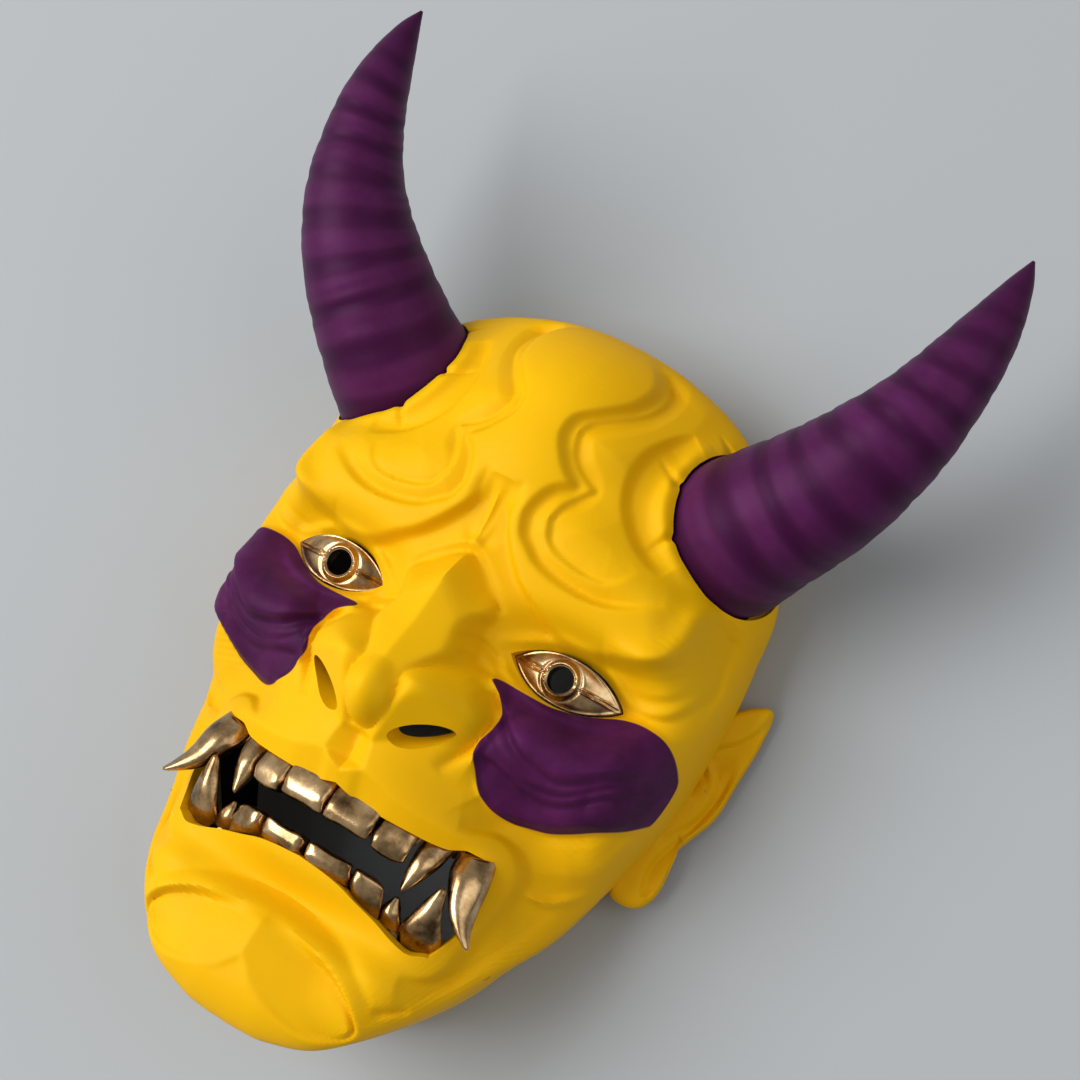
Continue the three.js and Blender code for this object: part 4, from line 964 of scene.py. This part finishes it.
def tooth_rings(turn, lean, stations, seed):
    """Tooth: squarish rings through the stations, dented a little by sines, closing to a rounded end.

    A ring is a circle with its cosine and sine raised to a power under one; pointed teeth are rounder
    and close fully, blunt ones keep a worn edge.
    """
    line = through(stations, TOOTH_STEPS)
    angle = ring_angles(TOOTH_SIDES, 0.5)
    blunt = stations[-1][3] > BLUNT_FROM
    even = np.linspace(0, 1, TOOTH_STEPS + 1)
    t = even[:, None] ** 0.8 if blunt else even[:, None]
    line = np.stack([np.interp(t[:, 0], even, line[:, c]) for c in range(5)], -1)
    end, power = (0.12, 0.45) if blunt else (0.05, 0.85)
    close = np.sqrt(np.maximum(1 - unit((t - 1 + end) / end) ** 2, 0.02))

    def bow(v):
        """Squares off a sine or a cosine."""
        return np.sign(v) * np.abs(v) ** power

    u = line[:, 3:4] * bow(np.cos(angle)) * (0.55 + 0.45 * close if blunt else close)
    v = line[:, 4:5] * bow(np.sin(angle)) * (0.35 + 0.65 * close if blunt else close)
    dent = 1 + 0.02 * np.sin(3 * angle + seed + 5 * t) * np.sin(7 * t + 2 * seed)
    dent = dent + 0.012 * np.sin(5 * angle - 9 * t + seed)
    u, v = u * dent, v * dent
    c, s = np.cos(np.radians(turn)), np.sin(np.radians(turn))
    slant = lean * u * (1 - 0.5 * unit(t * 3))
    if blunt:
        slant = slant + 0.25 * np.sin(u * 0.55 + seed * 2) * unit((t - 0.6) / 0.4)
    return np.stack([line[:, :1] + u * c - v * s, line[:, 1:2] + slant, line[:, 2:3] + u * s + v * c], -1)


def gum_rings(lip, side):
    """Gum bar behind the lip: a slanted box section carried across the mouth."""
    x = np.linspace(-GUM_HALF, GUM_HALF, 41)
    out = curve(lip, np.abs(x)) + side * GUM_OUT
    inn = curve(lip, np.abs(x)) - side * GUM_IN
    high = lining(np.abs(x), out) - 1
    low = lining(np.abs(x), inn) - 2.6
    corners = [(out, high), (inn, low), (inn, low - GUM_THICK), (out, high - GUM_THICK)]
    return np.stack([np.stack([x, y, z], -1) for y, z in corners], 1)


def teeth_shape(rows, lip, side):
    """A set of teeth: each tooth and its mirror image on one gum bar."""
    shape = Shape()
    parts = [tube(gum_rings(lip, side))]
    for k, (turn, lean, stations) in enumerate(rows):
        one = tube(tooth_rings(turn, lean, stations, 1.3 * k + side))
        parts += [one, mirror_shape(one)]
    for part in parts:
        for faces in part.faces:
            shape.put(faces + shape.count, False)
        for points in part.points:
            shape.add(points)
    return shape


upper_teeth = build("upper_tooth_set", teeth_shape(UPPER, MOUTH_UP, 1), sharp=60)
lower_teeth = build("lower_tooth_set", teeth_shape(LOWER, MOUTH_LOW, -1), sharp=60)

horn, horn_painted_light = horn_shape()
horn_right = build("horn_right_ringed", horn, merge=False)
horn_left = build("horn_left_ringed", mirror_shape(horn), merge=False)
# Stores the horn's painted light: painted highlights on the swells and painted shade in the grooves
for obj in (horn_right, horn_left):
    stored(obj, "swell", horn_painted_light)


# Finishes
def fill(tree, node, values):
    """Sets inputs of a node: an output of another node is linked, anything else is its constant."""
    for key, value in values.items():
        if isinstance(value, bpy.types.NodeSocket):
            tree.links.new(value, node.inputs[key])
        else:
            node.inputs[key].default_value = value


def made(tree, kind, values):
    """A new shader node with inputs set."""
    node = tree.nodes.new("ShaderNode" + kind)
    fill(tree, node, values)
    return node


def finish_of(name, colour, metallic, roughness, specular=0.5):
    """A new material with a principled shader; returns it with its node tree and shader."""
    material = bpy.data.materials.new(name)
    material.use_nodes = True
    tree = material.node_tree
    shader = tree.nodes["Principled BSDF"]
    fill(tree, shader, {"Base Color": colour, "Metallic": metallic, "Roughness": roughness,
                        "Specular IOR Level": specular})
    return material, tree, shader


def noise(tree, scale, detail=3.0, rough=0.5, stretch=None):
    """Noise over Object coordinates, stretched where a scale for each axis is given."""
    place = made(tree, "TexCoord", {}).outputs["Object"]
    if stretch:
        place = made(tree, "Mapping", {"Vector": place, "Scale": stretch}).outputs["Vector"]
    values = {"Vector": place, "Scale": scale, "Detail": detail, "Roughness": rough}
    return made(tree, "TexNoise", values).outputs["Fac"]


def ramp(tree, value, stops):
    """Colour ramp over a value."""
    node = made(tree, "ValToRGB", {"Fac": value})
    elements = node.color_ramp.elements
    while len(elements) < len(stops):
        elements.new(0.5)
    for element, (at, colour) in zip(elements, stops):
        element.position = at
        element.color = colour
    return node.outputs["Color"]


def spread(tree, value, low, high, start=0.0, end=1.0):
    """Maps a value from one range to another."""
    values = {"Value": value, "From Min": start, "From Max": end, "To Min": low, "To Max": high}
    return made(tree, "MapRange", values).outputs["Result"]


# Places of the sockets for colours on a mix node
FACTOR, COLOUR_A, COLOUR_B, MIXED = 0, 6, 7, 2


def blend(tree, factor, a, b):
    """Mixes two colours by a factor; each may be a socket or a colour."""
    node = made(tree, "Mix", {})
    node.data_type = "RGBA"
    fill(tree, node, {FACTOR: factor, COLOUR_A: a, COLOUR_B: b})
    return node.outputs[MIXED]


def bump(tree, shader, height, distance, strength, **before):
    """Bump from a height, chained on the Normal of another bump where one is given."""
    values = {"Height": height, "Distance": distance, "Strength": strength, **before}
    normal = made(tree, "Bump", values).outputs["Normal"]
    fill(tree, shader, {"Normal": normal})
    return normal


def attribute(tree, name):
    """Value stored for each vertex under a name."""
    node = made(tree, "Attribute", {})
    node.attribute_name = name
    return node.outputs["Fac"]


YELLOW = (0.80, 0.44, 0.0015, 1)
YELLOW_DEEP = (0.75, 0.39, 0.001, 1)
PURPLE = (0.088, 0.011, 0.074, 1)
PURPLE_DARK = (0.030, 0.004, 0.026, 1)
# Horn colours: painted shade in the grooves, the lacquer's own purple, and painted highlights on the swells
# and their crests
HORN_GROOVE_SHADE = (0.032, 0.0035, 0.027, 1)
HORN_BASE = (0.040, 0.005, 0.034, 1)
HORN_SWELL_HIGHLIGHT = (0.052, 0.007, 0.044, 1)
HORN_CREST_HIGHLIGHT = (0.078, 0.012, 0.067, 1)
HORN_SHEEN = (0.8, 0.4, 0.75, 1)
GOLD = (0.50, 0.325, 0.16, 1)
GOLD_DARK = (0.10, 0.055, 0.022, 1)
GOLD_RUBBED = (0.78, 0.58, 0.33, 1)
# Near-black inside of the shell: painted shade for the hollow behind the openings, with random blotches
INSIDE_PAINTED_SHADE = (0.010, 0.009, 0.009, 1)
INSIDE_PAINTED_SHADE_DARK = (0.006, 0.005, 0.005, 1)
INSIDE_PAINTED_SHADE_WORN = (0.018, 0.016, 0.015, 1)
FLOOR_GREY = (0.37, 0.39, 0.405, 1)
STUDIO_WHITE = (0.87, 0.86, 0.84, 1)
CHEEK_EDGE = 0.12
CHEEK_DEPTH = -24.0
OUTSIDE = -5.0


def shell_paint():
    """Satin yellow paint with purple cheeks, cloudy, with fine scratches."""
    material, tree, shader = finish_of("satin yellow and purple paint", YELLOW, 0.0, 0.42, 0.08)
    yellow = blend(tree, spread(tree, noise(tree, 18, 4), 0, 1, 0.35, 0.7), YELLOW, YELLOW_DEEP)
    purple = blend(tree, spread(tree, noise(tree, 60, 5, 0.6), 0, 1, 0.3, 0.75), PURPLE, PURPLE_DARK)
    cheek = spread(tree, attribute(tree, "cheek"), 0, 1, -CHEEK_EDGE, CHEEK_EDGE)
    fine = noise(tree, 420, 3)
    fill(tree, shader, {"Base Color": blend(tree, cheek, yellow, purple),
                        "Roughness": spread(tree, fine, 0.44, 0.6)})
    scratches = bump(tree, shader, noise(tree, 90, 2, 0.5, (1, 9, 1)), 0.0002, 0.25)
    bump(tree, shader, fine, 0.0001, 0.3, Normal=scratches)
    return material


def hidden_side():
    """Near-black matt paint on the back of the shell: painted shade, so the hollow seen through the openings
    reads black; blotchy and a little worn.
    """
    material, tree, shader = finish_of("painted shade inside", INSIDE_PAINTED_SHADE, 0.0, 0.7, 0.2)
    blotch = noise(tree, 40, 4, 0.6)
    fill(tree, shader, {"Base Color": ramp(tree, blotch, [(0.3, INSIDE_PAINTED_SHADE_DARK), (0.75, INSIDE_PAINTED_SHADE_WORN)]),
                        "Roughness": spread(tree, noise(tree, 160, 3), 0.6, 0.85)})
    bump(tree, shader, blotch, 0.0004, 0.3)
    return material


def horn_paint():
    """Dark purple lacquer with a fine grain, with painted highlights on the swells and painted shade in the
    grooves.
    """
    material, tree, shader = finish_of("purple horn lacquer", PURPLE, 0.0, 0.38, 0.16)
    # Painted shade in the grooves and painted highlights on the swells and crests, from the stored swell
    stops = [(0.0, HORN_GROOVE_SHADE), (0.5, HORN_BASE), (0.8, HORN_SWELL_HIGHLIGHT), (1.0, HORN_CREST_HIGHLIGHT)]
    painted_light = ramp(tree, spread(tree, attribute(tree, "swell"), 0, 1, -1, 1), stops)
    cloud = spread(tree, noise(tree, 45, 6, 0.65), 0, 0.8, 0.35, 0.7)
    grain = noise(tree, 160, 4, 0.6)
    fill(tree, shader, {"Base Color": blend(tree, cloud, painted_light, HORN_BASE), "Specular Tint": HORN_SHEEN,
                        "Roughness": spread(tree, grain, 0.36, 0.54)})
    bump(tree, shader, grain, 0.0004, 0.35)
    return material


def old_gold():
    """Worn bronze gold: bright where rubbed, brown where not."""
    material, tree, shader = finish_of("worn old gold", GOLD, 1.0, 0.28)
    wear = noise(tree, 140, 6, 0.6)
    stops = [(0.32, GOLD_DARK), (0.54, GOLD), (0.74, GOLD_RUBBED)]
    fill(tree, shader, {"Base Color": ramp(tree, wear, stops),
                        "Roughness": spread(tree, noise(tree, 300, 4), 0.16, 0.36)})
    bump(tree, shader, wear, 0.0004, 0.35)
    return material


def mark_cheeks(obj):
    """Signed distance from the edge of the cheek's patch, in millimetres, plus inside.

    At the side of the head the patch ends at a depth, rounded into its outline.
    """
    count = len(obj.data.vertices)
    co = np.empty(count * 3, np.float32)
    obj.data.vertices.foreach_get("co", co)
    co = co.reshape(-1, 3) * 1000.0 + (0, MID_Y, -RIM_BELOW_PUPILS)
    x, y = np.abs(co[:, 0]), co[:, 1]
    value = np.full(count, OUTSIDE)
    m = round_cheek(x, y) & (co[:, 2] > CHEEK_DEPTH - 4)
    value[m] = -join(-within(x[m], y[m], CHEEK, CHEEK_STEPS), CHEEK_DEPTH - co[m, 2], 2.0)
    stored(obj, "cheek", value)


paint, lacquer, gold = shell_paint(), horn_paint(), old_gold()
for piece in (mask_shell, ear_right, ear_left):
    mark_cheeks(piece)
dress(mask_shell, [paint, hidden_side()], "mask_shell")
dress(ear_right, [paint])
dress(ear_left, [paint])
dress(horn_right, [lacquer], "horn_right")
dress(horn_left, [lacquer], "horn_left")
dress(eye_right, [gold], "eye_right")
dress(eye_left, [gold], "eye_left")
dress(upper_teeth, [gold], "upper_teeth")
dress(lower_teeth, [gold], "lower_teeth")


# Floor, light and camera
FLOOR_HALF, FLOOR_Z = 3.0, -0.0004


def floor():
    """Plain sheet under the mask."""
    corners = [(FLOOR_HALF * x, FLOOR_HALF * y, FLOOR_Z) for x, y in ((-1, -1), (1, -1), (1, 1), (-1, 1))]
    mesh = bpy.data.meshes.new("floor")
    mesh.from_pydata(corners, [], [(0, 1, 2, 3)])
    mesh.materials.append(finish_of("pale floor", FLOOR_GREY, 0.0, 0.9, 0.1)[0])
    placed("floor", mesh)


CAMERA_AT = to_frame((149.233, -8.814, 422.062))
LOOK = Vector((-0.30885, 0.08289, -0.94749))
UP = Vector((-0.42935, 0.87677, 0.21666))
RIGHT = Vector((0.84869, 0.47372, -0.2352))
LENS, SENSOR = 60.0, 36.0
LIGHT_AWAY = 2.0
LIT_AT = (0, 0, 0.05)
GLOW_DIM, GLOW_BRIGHT = 0.09, 0.62


def camera():
    """The photograph's view."""
    data = bpy.data.cameras.new("camera")
    data.lens = LENS
    data.sensor_width = SENSOR
    data.clip_start, data.clip_end = 0.01, 20
    obj = placed("camera", data)
    turn = Matrix((RIGHT, UP, -LOOK)).transposed()
    obj.matrix_world = Matrix.Translation(Vector(CAMERA_AT)) @ turn.to_4x4()
    bpy.context.scene.camera = obj


def softbox(name, side, rise, back, size, power):
    """Square soft light aimed at the mask, placed by the camera's right, up and back directions."""
    data = bpy.data.lights.new(name, "AREA")
    data.shape = "SQUARE"
    data.size = size
    data.energy = power
    obj = placed(name, data)
    direction = (RIGHT * side + UP * rise - LOOK * back).normalized()
    obj.location = Vector(LIT_AT) + direction * LIGHT_AWAY
    obj.rotation_mode = "QUATERNION"
    obj.rotation_quaternion = (-direction).to_track_quat("-Z", "Y")


def studio():
    """Surroundings that are bright on the side of the key light and dim on the other."""
    world = bpy.data.worlds.new("studio")
    bpy.context.scene.world = world
    world.use_nodes = True
    tree = world.node_tree
    place = made(tree, "TexCoord", {}).outputs["Generated"]
    toward = made(tree, "VectorMath", {})
    toward.operation = "DOT_PRODUCT"
    fill(tree, toward, {0: place, 1: (RIGHT * -0.72 + UP * 0.52 - LOOK * 0.45).normalized()})
    glow = spread(tree, toward.outputs["Value"], GLOW_DIM, GLOW_BRIGHT, -0.7, 0.9)
    fill(tree, tree.nodes["Background"], {"Color": STUDIO_WHITE, "Strength": glow})


floor()
camera()
softbox("key", side=-1.15, rise=0.45, back=0.90, size=1.6, power=45)
softbox("fill", side=0.75, rise=0.1, back=0.9, size=1.6, power=10)
studio()
bpy.context.scene.view_settings.view_transform = "Standard"
